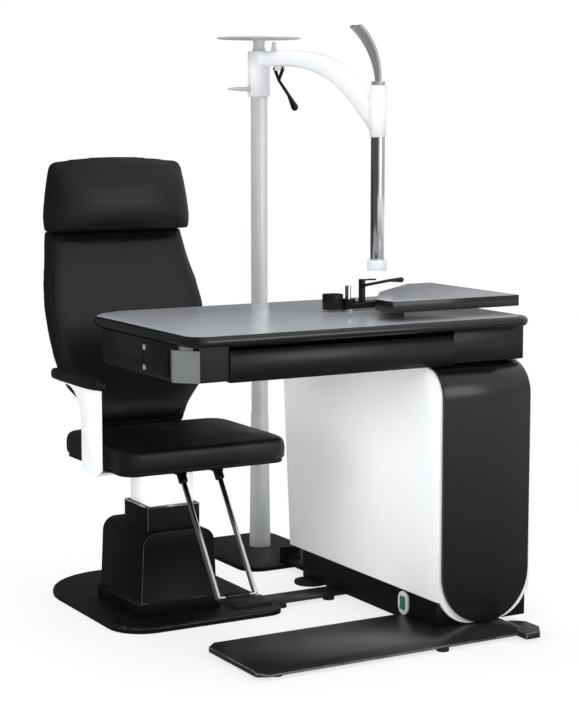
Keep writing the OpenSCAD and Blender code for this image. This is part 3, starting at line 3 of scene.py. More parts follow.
import bpy
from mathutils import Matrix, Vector
from mathutils.bvhtree import BVHTree
from mathutils.kdtree import KDTree


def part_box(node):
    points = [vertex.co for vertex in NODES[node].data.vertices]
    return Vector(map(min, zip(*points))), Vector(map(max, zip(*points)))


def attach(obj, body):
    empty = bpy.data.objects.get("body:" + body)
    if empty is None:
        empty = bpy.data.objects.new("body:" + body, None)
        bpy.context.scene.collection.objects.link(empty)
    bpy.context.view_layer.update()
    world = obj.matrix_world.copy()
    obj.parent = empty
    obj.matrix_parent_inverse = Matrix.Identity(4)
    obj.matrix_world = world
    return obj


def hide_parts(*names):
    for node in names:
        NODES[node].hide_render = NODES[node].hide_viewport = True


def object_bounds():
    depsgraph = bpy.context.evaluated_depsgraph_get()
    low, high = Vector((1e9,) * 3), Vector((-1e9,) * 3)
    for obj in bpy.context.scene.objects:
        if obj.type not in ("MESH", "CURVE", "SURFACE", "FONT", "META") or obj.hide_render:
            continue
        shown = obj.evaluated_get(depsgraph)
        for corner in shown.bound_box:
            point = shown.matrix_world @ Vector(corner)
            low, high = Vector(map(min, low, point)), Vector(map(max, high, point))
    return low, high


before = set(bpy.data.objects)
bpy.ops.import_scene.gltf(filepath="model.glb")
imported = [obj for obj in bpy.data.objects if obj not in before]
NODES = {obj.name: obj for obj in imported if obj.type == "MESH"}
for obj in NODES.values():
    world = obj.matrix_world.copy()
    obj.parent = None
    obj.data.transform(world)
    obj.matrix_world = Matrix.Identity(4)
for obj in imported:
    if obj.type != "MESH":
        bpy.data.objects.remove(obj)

CAD_LOW, CAD_HIGH = [list(c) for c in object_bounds()]

# Camera: place in metres, pitch below the horizon and heading from +Y towards +X
CAMERA_PLACE = (-2.122, -4.452, 1.320)
CAMERA_PITCH = math.radians(7.5)
CAMERA_HEADING = math.radians(29.6)
CAMERA_LENS = 93.5
SENSOR = 36.0
CAMERA_REACH = 60

# Light that the surroundings give matt surfaces
WORLD_LEVEL = 0.86
# What shiny surfaces see: a dark room to the left and behind, bright walls to the right
ROOM_DARK = 0.11
ROOM_BRIGHT = 0.90
# Direction to the camera's right, along which the room turns from dark to bright
ROOM_RIGHT = (math.cos(CAMERA_HEADING), -math.sin(CAMERA_HEADING), 0.0)
# Where it turns, by direction, and for the floor by metres to the right
ROOM_TURN = (-0.05, 0.40)
FLOOR_TURN = (-0.2, 1.2)
# Walls: share of their brightness at the horizon, and the height at which it is full
HORIZON_SHARE = 0.6
WALL_TOP = 0.45
# Colours of the background, of the dark room and of the light on matt surfaces
WHITE = (1, 1, 1)
DARK_TONE = (0.9, 0.95, 1.0)
SOFT_TONE = (0.95, 0.97, 1.0)

# Floor: half its side, how far it lies under the object, colour and roughness
FLOOR_HALF = 14.0
FLOOR_DROP = 0.0006
FLOOR_COLOR = (0.93, 0.93, 0.93)
FLOOR_ROUGH = 0.85
# Distances over which it runs into the white background, and the share of white there
FLOOR_FADE = (0.9, 2.4, 0.72, 1.0)
# Distances over which shiny surfaces see it brighten
FLOOR_GLOW = (0.5, 7.0, 0.0, ROOM_BRIGHT)

# Name, place, target, size in metres, power in watts, whether shiny surfaces mirror it
LAMPS = (
    ("key", (-3.6, -1.9, 1.5), (0.3, -0.1, 0.5), (2.4, 2.0), 58, False),
    ("low", (-2.5, -2.7, 0.7), (0.4, -0.2, 0.35), (1.8, 0.9), 21, False),
    ("top", (0.6, -0.2, 3.9), (0.2, -0.2, 0.5), (2.6, 2.2), 32, False),
    ("front", (1.6, -3.6, 1.7), (0.4, -0.2, 0.6), (1.6, 1.8), 22, True),
    ("back", (0.8, 3.4, 2.4), (0.2, 0, 0.8), (2.6, 1.8), 30, False),
    # Light that the floor throws up under the desk
    ("under_desk", (0.05, -0.25, 0.50), (0.5, 0.1, 0.40), (0.5, 0.4), 1.0, False),
)

RANGE_SOCKETS = ("From Min", "From Max", "To Min", "To Max")


# ---------------------------------------------------------------- camera, floor and light

def make_camera():
    data = bpy.data.cameras.new("camera")
    data.sensor_width = SENSOR
    data.lens = CAMERA_LENS
    data.clip_end = CAMERA_REACH
    cam = bpy.data.objects.new("camera", data)
    bpy.context.scene.collection.objects.link(cam)
    cam.location = CAMERA_PLACE
    cam.rotation_euler = (math.pi / 2 - CAMERA_PITCH, 0, -CAMERA_HEADING)
    bpy.context.scene.camera = cam


def link(tree, a, b):
    tree.links.new(a, b)


def map_range(tree, source, ends, kind="LINEAR"):
    """Maps the source from the first two ends to the last two, or to 0 and 1."""
    node = tree.nodes.new("ShaderNodeMapRange")
    node.interpolation_type = kind
    for key, value in zip(RANGE_SOCKETS, ends):
        node.inputs[key].default_value = value
    link(tree, source, node.inputs["Value"])
    return node.outputs["Result"]


def multiply(tree, a, b):
    node = tree.nodes.new("ShaderNodeMath")
    node.operation = "MULTIPLY"
    link(tree, a, node.inputs[0])
    link(tree, b, node.inputs[1])
    return node.outputs[0]


def mix_shaders(tree, share, a, b):
    node = tree.nodes.new("ShaderNodeMixShader")
    for k, source in enumerate((share, a, b)):
        link(tree, source, node.inputs[k])
    return node.outputs[0]


def room_side(tree, vector, turn):
    """Runs from 0 on the dark side of the room to 1 on its bright side."""
    dot = tree.nodes.new("ShaderNodeVectorMath")
    dot.operation = "DOT_PRODUCT"
    link(tree, vector, dot.inputs[0])
    dot.inputs[1].default_value = ROOM_RIGHT
    return map_range(tree, dot.outputs["Value"], turn, "SMOOTHSTEP")


def make_world():
    """White to the camera, soft grey to matt surfaces, a half dark room to shiny ones."""
    world = bpy.data.worlds.new("studio")
    bpy.context.scene.world = world
    world.use_nodes = True
    tree = world.node_tree
    tree.nodes.clear()

    def background(color, strength):
        node = tree.nodes.new("ShaderNodeBackground")
        node.inputs["Color"].default_value = (*color, 1)
        node.inputs["Strength"].default_value = strength
        return node.outputs[0]

    direction = tree.nodes.new("ShaderNodeTexCoord").outputs["Generated"]
    split = tree.nodes.new("ShaderNodeSeparateXYZ")
    link(tree, direction, split.inputs[0])
    height = map_range(tree, split.outputs[2], (0.0, WALL_TOP, HORIZON_SHARE, 1.0))
    bright = multiply(tree, room_side(tree, direction, ROOM_TURN), height)
    path = tree.nodes.new("ShaderNodeLightPath").outputs
    mirror = mix_shaders(tree, bright, background(DARK_TONE, ROOM_DARK),
                         background(WHITE, ROOM_BRIGHT))
    soft = mix_shaders(tree, path["Is Glossy Ray"], background(SOFT_TONE, WORLD_LEVEL), mirror)
    seen = mix_shaders(tree, path["Is Camera Ray"], soft, background(WHITE, 1.0))
    out = tree.nodes.new("ShaderNodeOutputWorld")
    link(tree, seen, out.inputs[0])


def area_light(name, place, target, size, power, mirrored):
    data = bpy.data.lights.new(name, "AREA")
    data.shape = "RECTANGLE"
    data.size, data.size_y = size
    data.energy = power
    lamp = bpy.data.objects.new(name, data)
    lamp.visible_glossy = mirrored
    lamp.visible_camera = False
    bpy.context.scene.collection.objects.link(lamp)
    lamp.location = place
    lamp.rotation_mode = "QUATERNION"
    lamp.rotation_quaternion = (Vector(target) - Vector(place)).to_track_quat("-Z", "Y")


def make_floor():
    """Pale floor with the object's shadow, which fades into the white background."""
    mesh = bpy.data.meshes.new("studio_floor")
    corners = [(x * FLOOR_HALF, y * FLOOR_HALF, 0) for x, y in ((-1, -1), (1, -1), (1, 1), (-1, 1))]
    mesh.from_pydata(corners, [], [(0, 1, 2, 3)])
    floor = bpy.data.objects.new("studio_floor", mesh)
    floor.location.z = CAD_LOW[2] - FLOOR_DROP
    bpy.context.scene.collection.objects.link(floor)
    mat = bpy.data.materials.new("studio_floor")
    mat.use_nodes = True
    tree = mat.node_tree
    bsdf = tree.nodes["Principled BSDF"]
    bsdf.inputs["Base Color"].default_value = (*FLOOR_COLOR, 1)
    bsdf.inputs["Roughness"].default_value = FLOOR_ROUGH
    place = tree.nodes.new("ShaderNodeNewGeometry").outputs["Position"]
    length = tree.nodes.new("ShaderNodeVectorMath")
    length.operation = "LENGTH"
    link(tree, place, length.inputs[0])
    distance = length.outputs["Value"]
    path = tree.nodes.new("ShaderNodeLightPath").outputs
    # Far from the object the floor runs into the white background
    white = tree.nodes.new("ShaderNodeEmission")
    white.inputs["Color"].default_value = (*WHITE, 1)
    far = multiply(tree, path["Is Camera Ray"], map_range(tree, distance, FLOOR_FADE))
    seen = mix_shaders(tree, far, bsdf.outputs[0], white.outputs[0])
    # Shiny surfaces see it dim near the object and on the dark side of the room
    glow = multiply(tree, room_side(tree, place, FLOOR_TURN), map_range(tree, distance, FLOOR_GLOW))
    level = tree.nodes.new("ShaderNodeMath")
    level.operation = "ADD"
    level.inputs[0].default_value = ROOM_DARK
    link(tree, glow, level.inputs[1])
    room = tree.nodes.new("ShaderNodeEmission")
    link(tree, level.outputs[0], room.inputs["Strength"])
    seen = mix_shaders(tree, path["Is Glossy Ray"], seen, room.outputs[0])
    link(tree, seen, tree.nodes["Material Output"].inputs[0])
    mesh.materials.append(mat)


make_camera()
make_world()
make_floor()
for lamp in LAMPS:
    area_light(*lamp)


# ---------------------------------------------------------------- materials

COAT_ROUGH = 0.12
# Part of a noise texture's range that is used
NOISE_BAND = (0.3, 0.7)
# Narrowest roughness that a varied surface gets
SMOOTHEST = 0.02


class Shade:
    """A Principled material whose colour, roughness and relief vary by procedural textures."""

    def __init__(self, name, color, rough, metallic=0.0, specular=0.5, coat=0.0):
        self.mat = bpy.data.materials.new(name)
        self.mat.use_nodes = True
        self.tree = self.mat.node_tree
        self.bsdf = self.tree.nodes["Principled BSDF"]
        self.bsdf.inputs["Metallic"].default_value = metallic
        self.bsdf.inputs["Roughness"].default_value = rough
        self.bsdf.inputs["Specular IOR Level"].default_value = specular
        self.bsdf.inputs["Coat Weight"].default_value = coat
        self.bsdf.inputs["Coat Roughness"].default_value = COAT_ROUGH
        self.bsdf.inputs["Base Color"].default_value = (*color, 1)
        self.coord = self.tree.nodes.new("ShaderNodeTexCoord").outputs["Object"]
        self.color, self.rough = color, rough

    def node(self, kind, **inputs):
        n = self.tree.nodes.new(kind)
        for key, value in inputs.items():
            n.inputs[key.replace("_", " ")].default_value = value
        return n

    def link(self, a, b):
        self.tree.links.new(a, b)

    def noise(self, scale, detail, roughness=0.55):
        n = self.node("ShaderNodeTexNoise", Scale=scale, Detail=detail, Roughness=roughness)
        self.link(self.coord, n.inputs["Vector"])
        return n.outputs["Fac"]

    def cells(self, scale):
        n = self.node("ShaderNodeTexVoronoi", Scale=scale)
        n.feature = "DISTANCE_TO_EDGE"
        self.link(self.coord, n.inputs["Vector"])
        return n.outputs["Distance"]

    def ramp(self, source, low, high, to_low=0.0, to_high=1.0):
        return map_range(self.tree, source, (low, high, to_low, to_high))

    def mix(self, fac, a, b):
        m = self.node("ShaderNodeMix")
        m.data_type = "RGBA"
        self.link(fac, m.inputs["Factor"])
        for key, value in (("A", a), ("B", b)):
            socket = [i for i in m.inputs if i.name == key and i.type == "RGBA"][0]
            if isinstance(value, tuple):
                socket.default_value = (*value, 1)
            else:
                self.link(value, socket)
        return [o for o in m.outputs if o.type == "RGBA"][0]

    def tint(self, source, spread):
        """Colour varies by a share either way."""
        low = tuple(c * (1 - spread) for c in self.color)
        high = tuple(min(1, c * (1 + spread)) for c in self.color)
        out = self.mix(self.ramp(source, *NOISE_BAND), low, high)
        self.link(out, self.bsdf.inputs["Base Color"])

    def vary_rough(self, source, spread):
        """Roughness varies by an amount either way."""
        out = self.ramp(source, *NOISE_BAND, max(SMOOTHEST, self.rough - spread),
                        min(1, self.rough + spread))
        self.link(out, self.bsdf.inputs["Roughness"])

    def relief(self, source, strength, distance, chain=None):
        """Fine relief by bump, on top of another one where a chain is given."""
        b = self.node("ShaderNodeBump", Strength=strength, Distance=distance)
        self.link(source, b.inputs["Height"])
        if chain is not None:
            self.link(chain, b.inputs["Normal"])
        self.link(b.outputs[0], self.bsdf.inputs["Normal"])
        return b.outputs[0]


def painted(name, color, rough, spread=0.05, peel=0.04, coat=0.0, specular=0.5, drift=0.02):
    """Paint or powder coat with a fine orange peel."""
    s = Shade(name, color, rough, specular=specular, coat=coat)
    s.tint(s.noise(scale=3.5, detail=4), spread)
    s.vary_rough(s.noise(scale=9, detail=3), drift)
    s.relief(s.noise(scale=420, detail=2), strength=peel, distance=0.0004)
    return s.mat


def metal(name, color, rough, strength=0.03, metallic=1.0):
    s = Shade(name, color, rough, metallic=metallic)
    s.tint(s.noise(scale=4, detail=3), spread=0.04)
    s.vary_rough(s.noise(scale=9, detail=3), spread=0.03)
    s.relief(s.noise(scale=700, detail=2), strength, distance=0.0002)
    return s.mat


def vinyl(name, color, rough):
    """Cover with fine pores and slow waves."""
    s = Shade(name, color, rough, specular=0.30)
    s.tint(s.noise(scale=6, detail=4), spread=0.14)
    s.vary_rough(s.noise(scale=11, detail=3), spread=0.03)
    pores = s.ramp(s.cells(scale=620), 0.0, 0.25)
    fine = s.relief(pores, strength=0.12, distance=0.0004)
    s.relief(s.noise(scale=16, detail=3), strength=0.05, distance=0.004, chain=fine)
    return s.mat


def moulded(name, color, rough, grain=0.10, specular=0.35):
    """Plastic or rubber with a moulded grain."""
    s = Shade(name, color, rough, specular=specular)
    s.tint(s.noise(scale=9, detail=3), spread=0.08)
    s.vary_rough(s.noise(scale=30, detail=2), spread=0.04)
    s.relief(s.noise(scale=900, detail=2), grain, distance=0.0003)
    return s.mat


M = {
    "black_steel": painted("black_powder_coat", (0.0050, 0.0053, 0.0056), rough=0.42,
                           spread=0.10, peel=0.10, specular=0.18),
    "grey_steel": painted("dark_grey_paint", (0.035, 0.037, 0.039), rough=0.40,
                          spread=0.08, peel=0.08),
    "column": painted("column_cover", (0.0032, 0.0036, 0.0040), rough=0.36,
                      spread=0.10, peel=0.04, specular=0.12),
    "outrigger": painted("floor_plate_paint", (0.013, 0.013, 0.013), rough=0.33,
                         spread=0.10, peel=0.06, specular=0.40),
    "white_steel": painted("white_enamel", (0.86, 0.87, 0.875), rough=0.30,
                           spread=0.01, peel=0.01, coat=0.25, drift=0.01),
    "pole": metal("satin_aluminium", (0.66, 0.675, 0.675), rough=0.42, metallic=0.35),
    "bright": metal("polished_steel", (0.62, 0.63, 0.64), rough=0.12, strength=0.01),
    "brushed": metal("brushed_steel", (0.52, 0.53, 0.54), rough=0.32),
    "vinyl": vinyl("black_vinyl", (0.0050, 0.0052, 0.0054), rough=0.38),
    "plastic": moulded("black_plastic", (0.005, 0.005, 0.0052), rough=0.40),
    "panel": painted("dark_panel_paint", (0.0052, 0.0056, 0.0060), rough=0.30,
                     spread=0.08, peel=0.03, specular=0.34),
    "fascia": painted("fascia_gloss", (0.0045, 0.0052, 0.0060), rough=0.27,
                      spread=0.08, peel=0.01, coat=0.10, specular=0.45),
    "light_plastic": moulded("light_grey_plastic", (0.55, 0.58, 0.58), rough=0.35, grain=0.04),
    "pale_metal": metal("pale_metal", (0.60, 0.61, 0.61), rough=0.40, metallic=0.3),
    "blade": metal("satin_blade", (0.42, 0.425, 0.43), rough=0.36, metallic=0.6),
    "post_paint": painted("corner_post_paint", (0.13, 0.136, 0.136), rough=0.35,
                          spread=0.03, peel=0.03),
    "button": moulded("grey_button", (0.22, 0.23, 0.23), rough=0.35, grain=0.04),
    "green": moulded("green_rocker", (0.02, 0.14, 0.10), rough=0.25, grain=0.02),
    "rubber": moulded("rubber_feet", (0.012, 0.012, 0.012), rough=0.7, grain=0.3),
}


LAMINATE_ROUGH = 0.16
# Half the width over which laminate turns to edge band, and where the band starts below the top
BAND_BLUR = 0.0006
BAND_DEPTH = (0.0012, 0.0006)
TOP_SPREAD = 0.04
BAND_SPREAD = 0.15


def spread_of(color, share):
    return tuple(c * (1 - share) for c in color), tuple(c * (1 + share) for c in color)


def laminate(name, node, inset, radius, color, edge):
    """Grey laminate inside a black edge band, told apart by place on the slab."""
    s = Shade(name, color, LAMINATE_ROUGH)
    low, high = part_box(node)
    centre = ((low[0] + high[0]) / 2, (low[1] + high[1]) / 2)
    half = ((high[0] - low[0]) / 2 - inset, (high[1] - low[1]) / 2 - inset)
    split = s.node("ShaderNodeSeparateXYZ")
    s.link(s.coord, split.inputs[0])

    def math_node(op, a, b=None):
        m = s.node("ShaderNodeMath")
        m.operation = op
        for i, v in enumerate((a, b)):
            if isinstance(v, (float, int)):
                m.inputs[i].default_value = v
            elif v is not None:
                s.link(v, m.inputs[i])
        return m.outputs[0]

    ins = []
    for axis in (0, 1):
        off = math_node("ABSOLUTE", math_node("SUBTRACT", split.outputs[axis], centre[axis]))
        ins.append(math_node("MAXIMUM", math_node("SUBTRACT", off, half[axis] - radius), 0.0))
    dist = math_node("SQRT", math_node("ADD", math_node("POWER", ins[0], 2.0),
                                       math_node("POWER", ins[1], 2.0)))
    rim = s.ramp(dist, radius - BAND_BLUR, radius + BAND_BLUR)
    below = s.ramp(split.outputs[2], high[2] - BAND_DEPTH[0], high[2] - BAND_DEPTH[1], 1.0, 0.0)
    outside = math_node("MAXIMUM", rim, below)
    cloud = s.ramp(s.noise(scale=5, detail=4), *NOISE_BAND)
    top = s.mix(cloud, *spread_of(color, TOP_SPREAD))
    band = s.mix(cloud, *spread_of(edge, BAND_SPREAD))
    s.link(s.mix(outside, top, band), s.bsdf.inputs["Base Color"])
    s.vary_rough(s.noise(scale=5, detail=3), spread=0.02)
    s.relief(s.noise(scale=700, detail=2), strength=0.02, distance=0.0002)
    return s.mat


EDGE_BAND = (0.006, 0.0065, 0.007)
M["desk_top"] = laminate("desk_laminate", "desk_top", inset=0.016, radius=0.05,
                         color=(0.42, 0.435, 0.45), edge=EDGE_BAND)
M["tray_slab"] = laminate("tray_laminate", "tray_slab", inset=0.006, radius=0.012,
                          color=(0.36, 0.37, 0.39), edge=EDGE_BAND)

NODE_MATERIAL = {
    "chair_base_plate": "black_steel", "link_beam": "outrigger", "outrigger_plate": "outrigger",
    "rear_base_plate": "black_steel", "levelling_feet": "rubber", "rear_bracket": "black_steel",
    "column_lower_shroud": "column", "column_mid_stage": "column", "lift_post": "white_steel",
    "lift_actuator": "grey_steel", "lift_spindle": "bright", "swivel_bearing": "bright",
    "seat_pan": "black_steel", "armrest_bracket": "white_steel",
    "footrest_brackets": "black_steel", "footrest_rods": "bright", "footrest_tread": "plastic",
    "recline_hinge": "black_steel", "backrest_shell": "plastic", "headrest_posts": "bright",
    "cabinet_plinth": "black_steel", "cabinet_frame": "grey_steel",
    "left_side_panel": "white_steel", "right_side_panel": "white_steel",
    "fascia_rim": "white_steel", "front_fascia": "fascia", "rear_panel": "white_steel",
    "switch_bezel": "light_plastic", "power_rocker": "green", "desk_carcass": "panel",
    "desk_top": "desk_top", "desk_left_front": "panel", "desk_right_front": "panel",
    "corner_post": "post_paint", "control_panel": "plastic", "panel_button_up": "button",
    "panel_button_down": "button", "drawer_front": "panel", "drawer_tub": "grey_steel",
    "drawer_runners": "brushed", "pole": "pole", "pole_sleeve": "pole",
    "shelf_spool": "pale_metal", "projector_shelf": "pale_metal", "swan_neck_arm": "white_steel",
    "arm_knob": "pale_metal", "clamp_lever": "pale_metal", "brake_lever": "plastic",
    "hanging_tube": "bright", "tube_head": "white_steel", "lamp_blade": "blade",
    "tray_post": "bright", "tray_arm": "plastic", "tray_slab": "tray_slab",
    "tray_lever": "plastic", "cup_holder": "plastic",
}

# Width of the rounded edges on hard pieces, in metres, where it isn't the usual one
EDGE = {"desk_carcass": 0.0012, "outrigger_plate": 0.0025, "chair_base_plate": 0.0015,
        "column_lower_shroud": 0.003, "column_mid_stage": 0.003, "desk_top": 0.0,
        "swan_neck_arm": 0.0, "brake_lever": 0.0, "tray_lever": 0.0, "levelling_feet": 0.001}
USUAL_EDGE = 0.0008
# Bend from which an edge is rounded, steps of the rounding, and the distance within which
# points are joined before it
EDGE_ANGLE = math.radians(32)
EDGE_SEGMENTS = 2
NODE_WELD = 0.00002
# How far a piece is thinned so that its facets clear a bore that turns around it
RUNNING_ROOM = {"pole": 0.00015}


# Painted highlight on rounded edges, a light colour that stands in for glints: its roughness
GLINT_ROUGH = 0.28
# Range of the noise over which the edge turns from its paint colour to the painted highlight when
# the share is nought
GLINT_BAND = (0.62, 0.72)


def painted_edge_glint(name, color, bright, share):
    """Painted highlight: a light colour on rounded edges that stands in for glints, in broken
    lengths.
    """
    s = Shade(name, color, GLINT_ROUGH)
    glint_share = s.ramp(s.noise(scale=14, detail=4, roughness=0.7),
                    *(end - share / 2 for end in GLINT_BAND))
    s.link(s.mix(glint_share, color, bright), s.bsdf.inputs["Base Color"])
    s.vary_rough(s.noise(scale=40, detail=3), spread=0.08)
    s.relief(s.noise(scale=300, detail=3), strength=0.08, distance=0.0004)
    return s.mat


# Pieces whose rounded edges get a painted highlight in place of glints: paint colour, highlight
# colour and its share
PAINTED_GLINT = {
    "column_lower_shroud": painted_edge_glint("cover_edge_painted_glint", (0.03, 0.03, 0.03),
                                bright=(0.34, 0.35, 0.35), share=0.30),
    "column_mid_stage": painted_edge_glint("stage_edge_painted_glint", (0.03, 0.03, 0.03),
                             bright=(0.30, 0.31, 0.31), share=0.30),
    "chair_base_plate": painted_edge_glint("plate_edge_painted_glint", (0.012, 0.012, 0.012),
                             bright=(0.10, 0.10, 0.10), share=0.1),
    "outrigger_plate": painted_edge_glint("foot_edge_painted_glint", (0.045, 0.045, 0.044),
                            bright=(0.10, 0.10, 0.10), share=0.4),
}


def smooth(obj):
    obj.data.polygons.foreach_set("use_smooth", [True] * len(obj.data.polygons))


def dress(node):
    """Material, smooth shading and rounded edges for a CAD node that stays."""
    obj = NODES[node]
    obj.data.materials.clear()
    obj.data.materials.append(M[NODE_MATERIAL[node]])
    weld = obj.modifiers.new("weld", "WELD")
    weld.merge_threshold = NODE_WELD
    if node in RUNNING_ROOM:
        room = obj.modifiers.new("room", "DISPLACE")
        room.mid_level = 0
        room.strength = -RUNNING_ROOM[node]
    width = EDGE.get(node, USUAL_EDGE)
    if width > 0:
        bevel = obj.modifiers.new("edges", "BEVEL")
        bevel.limit_method = "ANGLE"
        bevel.angle_limit = EDGE_ANGLE
        bevel.width = width
        bevel.segments = EDGE_SEGMENTS
        # Faces made by the rounding take the painted edge highlight
        if node in PAINTED_GLINT:
            obj.data.materials.append(PAINTED_GLINT[node])
            bevel.material = 1
    smooth(obj)


for node_name in NODE_MATERIAL:
    dress(node_name)


# ---------------------------------------------------------------- cushions

X, Z = Vector((1, 0, 0)), Vector((0, 0, 1))
# Lean of the backrest and of the headrest from upright
BACK_LEAN = math.radians(19)
HEAD_LEAN = math.radians(3)

# Cloth: frames that the swelling takes, its solver steps, mass, stiffness and air pressure
FRAMES = 14
CLOTH_QUALITY = 5
CLOTH_MASS = 0.3
CLOTH_TENSION = 18
CLOTH_SHEAR = 8
CLOTH_BENDING = 0.8
PRESSURE = 4.0
# How far the swelling is evened out, and the share of the puckers that stays
TAUT_ROUNDS = 24
PUCKER = 0.10

# Depth from a pad's middle plane, towards its face, from which the cover may swell
BACK_FREE = -0.006
HEAD_FREE = 0.004
# Shortest move that is still scaled
TINY = 1e-9

# Skin over a solid: distance within which its points are joined, and the share of each round
# of smoothing
SKIN_WELD = 0.0001
SKIN_CALM = 0.5
# Share of the seat pad's height up to which its sides are pulled tight
SEAT_RIM = 0.8
# Lower edge of the backrest's cover: how far it hangs, the height of the part that is drawn
# down with it, its distance behind the seat, over what depth it sets in, and its distance
# above the hinge
TAIL_DROP = 0.022
TAIL_ZONE = 0.036
TAIL_GAP = 0.004
TAIL_RAMP = 0.008
HINGE_GAP = 0.0015
# Seam of the backrest: points around it, how far it lies inside the outline, width and depth
# of its groove, and the shares of the way between two points that the groove is pressed along
SEAM_POINTS = 180
SEAM_INSET = 0.013
SEAM_WIDTH = 0.0025
SEAM_DEPTH = 0.0010
SEAM_STEPS = (0, 0.25, 0.5, 0.75)
# Distance in front of the pad from which its face is looked for
SEAM_REACH = 0.6
# Roll of the headrest's face: how far it comes forward, where, as a share of its height, and
# over what depth from the middle of the pad it sets in
ROLL = 0.012
ROLL_AT = 0.42
ROLL_DEPTH = 0.02


def bake(obj):
    """Applies every modifier of a piece to its mesh."""
    deps = bpy.context.evaluated_depsgraph_get()
    mesh = bpy.data.meshes.new_from_object(obj.evaluated_get(deps))
    old = obj.data
    obj.modifiers.clear()
    obj.data = mesh
    if old.users == 0:
        bpy.data.meshes.remove(old)


def middle(obj):
    """Middle and corners of a piece's box."""
    lo = Vector([min(v.co[k] for v in obj.data.vertices) for k in range(3)])
    hi = Vector([max(v.co[k] for v in obj.data.vertices) for k in range(3)])
    return (lo + hi) / 2, lo, hi


def facing(lean):
    """Direction that a leaning pad's face looks in."""
    return Vector((0, -math.cos(lean), math.sin(lean)))


def cushion_from(node, name, voxel, shrink, rounds):
    """Even quad skin over a soft CAD solid, a little inside it."""
    mesh = NODES[node].data.copy()
    obj = bpy.data.objects.new(name, mesh)
    bpy.context.scene.collection.objects.link(obj)
    weld = obj.modifiers.new("weld", "WELD")
    weld.merge_threshold = SKIN_WELD
    skin = obj.modifiers.new("skin", "REMESH")
    skin.mode = "VOXEL"
    skin.voxel_size = voxel
    calm = obj.modifiers.new("calm", "SMOOTH")
    calm.factor = SKIN_CALM
    calm.iterations = rounds
    bake(obj)
    obj.data.update()
    normals = [v.normal.copy() for v in obj.data.vertices]
    for v, n in zip(obj.data.vertices, normals):
        v.co -= n * shrink
    return obj


def swell(obj, hold):
    """Runs the cloth simulation and returns the places of the cover before and after it."""
    rest = [v.co.copy() for v in obj.data.vertices]
    group = obj.vertex_groups.new(name="held")
    group.add([i for i, co in enumerate(rest) if hold(co)], 1.0, "ADD")
    cloth = obj.modifiers.new("cloth", "CLOTH")
    s = cloth.settings
    s.quality = CLOTH_QUALITY
    s.mass = CLOTH_MASS
    s.tension_stiffness = s.compression_stiffness = CLOTH_TENSION
    s.shear_stiffness = CLOTH_SHEAR
    s.bending_stiffness = CLOTH_BENDING
    s.use_pressure = True
    s.uniform_pressure_force = PRESSURE
    s.vertex_group_mass = "held"
    s.effector_weights.gravity = 0
    cloth.collision_settings.use_collision = False
    scene = bpy.context.scene
    for frame_no in range(1, FRAMES + 1):
        scene.frame_set(frame_no)
    deps = bpy.context.evaluated_depsgraph_get()
    swollen = [v.co.copy() for v in obj.evaluated_get(deps).data.vertices]
    obj.modifiers.clear()
    scene.frame_set(1)
    return rest, swollen


def inflate(obj, hold, cap):
    """Lets air swell the cover up to a cap; vertices for which hold is true stay in place."""
    rest, swollen = swell(obj, hold)
    moves = []
    for old, new in zip(rest, swollen):
        move = new - old
        moves.append(move * min(1, cap / max(move.length, TINY)))
    # A well filled cover is taut: the swelling stays, most of its puckers go
    near = [[] for _ in rest]
    for edge in obj.data.edges:
        a, b = edge.vertices
        near[a].append(b)
        near[b].append(a)
    calm = [m.copy() for m in moves]
    for _ in range(TAUT_ROUNDS):
        calm = [(calm[i] + sum((calm[k] for k in near[i]), Vector())) / (1 + len(near[i]))
                for i in range(len(rest))]
    for v, old, even, raw in zip(obj.data.vertices, rest, calm, moves):
        v.co = old + even.lerp(raw, PUCKER)
    obj.vertex_groups.clear()


def fit(obj, node):
    """Scales a pad so that it fills its CAD solid from side to side and top to bottom."""
    low, high = [Vector(c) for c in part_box(node)]
    mid, lo, hi = middle(obj)
    share = [(high[k] - low[k]) / (hi[k] - lo[k]) for k in range(3)]
    centre = (low + high) / 2
    for v in obj.data.vertices:
        v.co = Vector([centre[k] + (v.co[k] - mid[k]) * share[k] for k in range(3)])


def square_off(obj, direction, depth):
    """Tightens the rounding at one end of a pad, where the cover is pulled over an edge."""
    end = max(v.co.dot(direction) for v in obj.data.vertices)
    for v in obj.data.vertices:
        d = end - v.co.dot(direction)
        if d < depth:
            v.co += direction * (d - d * d / depth)


def refine(obj):
    """Subdivides a pad once and shades it smooth."""
    fine = obj.modifiers.new("fine", "SUBSURF")
    fine.levels = fine.render_levels = 1
    bake(obj)
    smooth(obj)


def edge_path(obj, origin, u, v, n, inset):
    """Closed path on the side that n faces, a set inset inside the piece's outline."""
    reach = [0.0] * SEAM_POINTS
    for vert in obj.data.vertices:
        d = vert.co - origin
        a, b = d.dot(u), d.dot(v)
        k = math.floor(math.atan2(b, a) / (2 * math.pi) * SEAM_POINTS) % SEAM_POINTS
        reach[k] = max(reach[k], math.hypot(a, b))
    for _ in range(2):
        reach = [(reach[k - 1] + 2 * reach[k] + reach[(k + 1) % SEAM_POINTS]) / 4
                 for k in range(SEAM_POINTS)]
    tree = BVHTree.FromPolygons([p.co.copy() for p in obj.data.vertices],
                                [tuple(p.vertices) for p in obj.data.polygons])
    path = []
    for k in range(SEAM_POINTS):
        angle = 2 * math.pi * (k + 0.5) / SEAM_POINTS
        # Inset square to a nearly rectangular outline
        px, py = reach[k] * math.cos(angle), reach[k] * math.sin(angle)
        px -= math.copysign(min(inset, abs(px)), px)
        if abs(py) > inset:
            py -= math.copysign(inset, py)
        hit = tree.ray_cast(origin + u * px + v * py + n * SEAM_REACH, -n)[0]
        if hit is not None:
            path.append(hit)
    return path


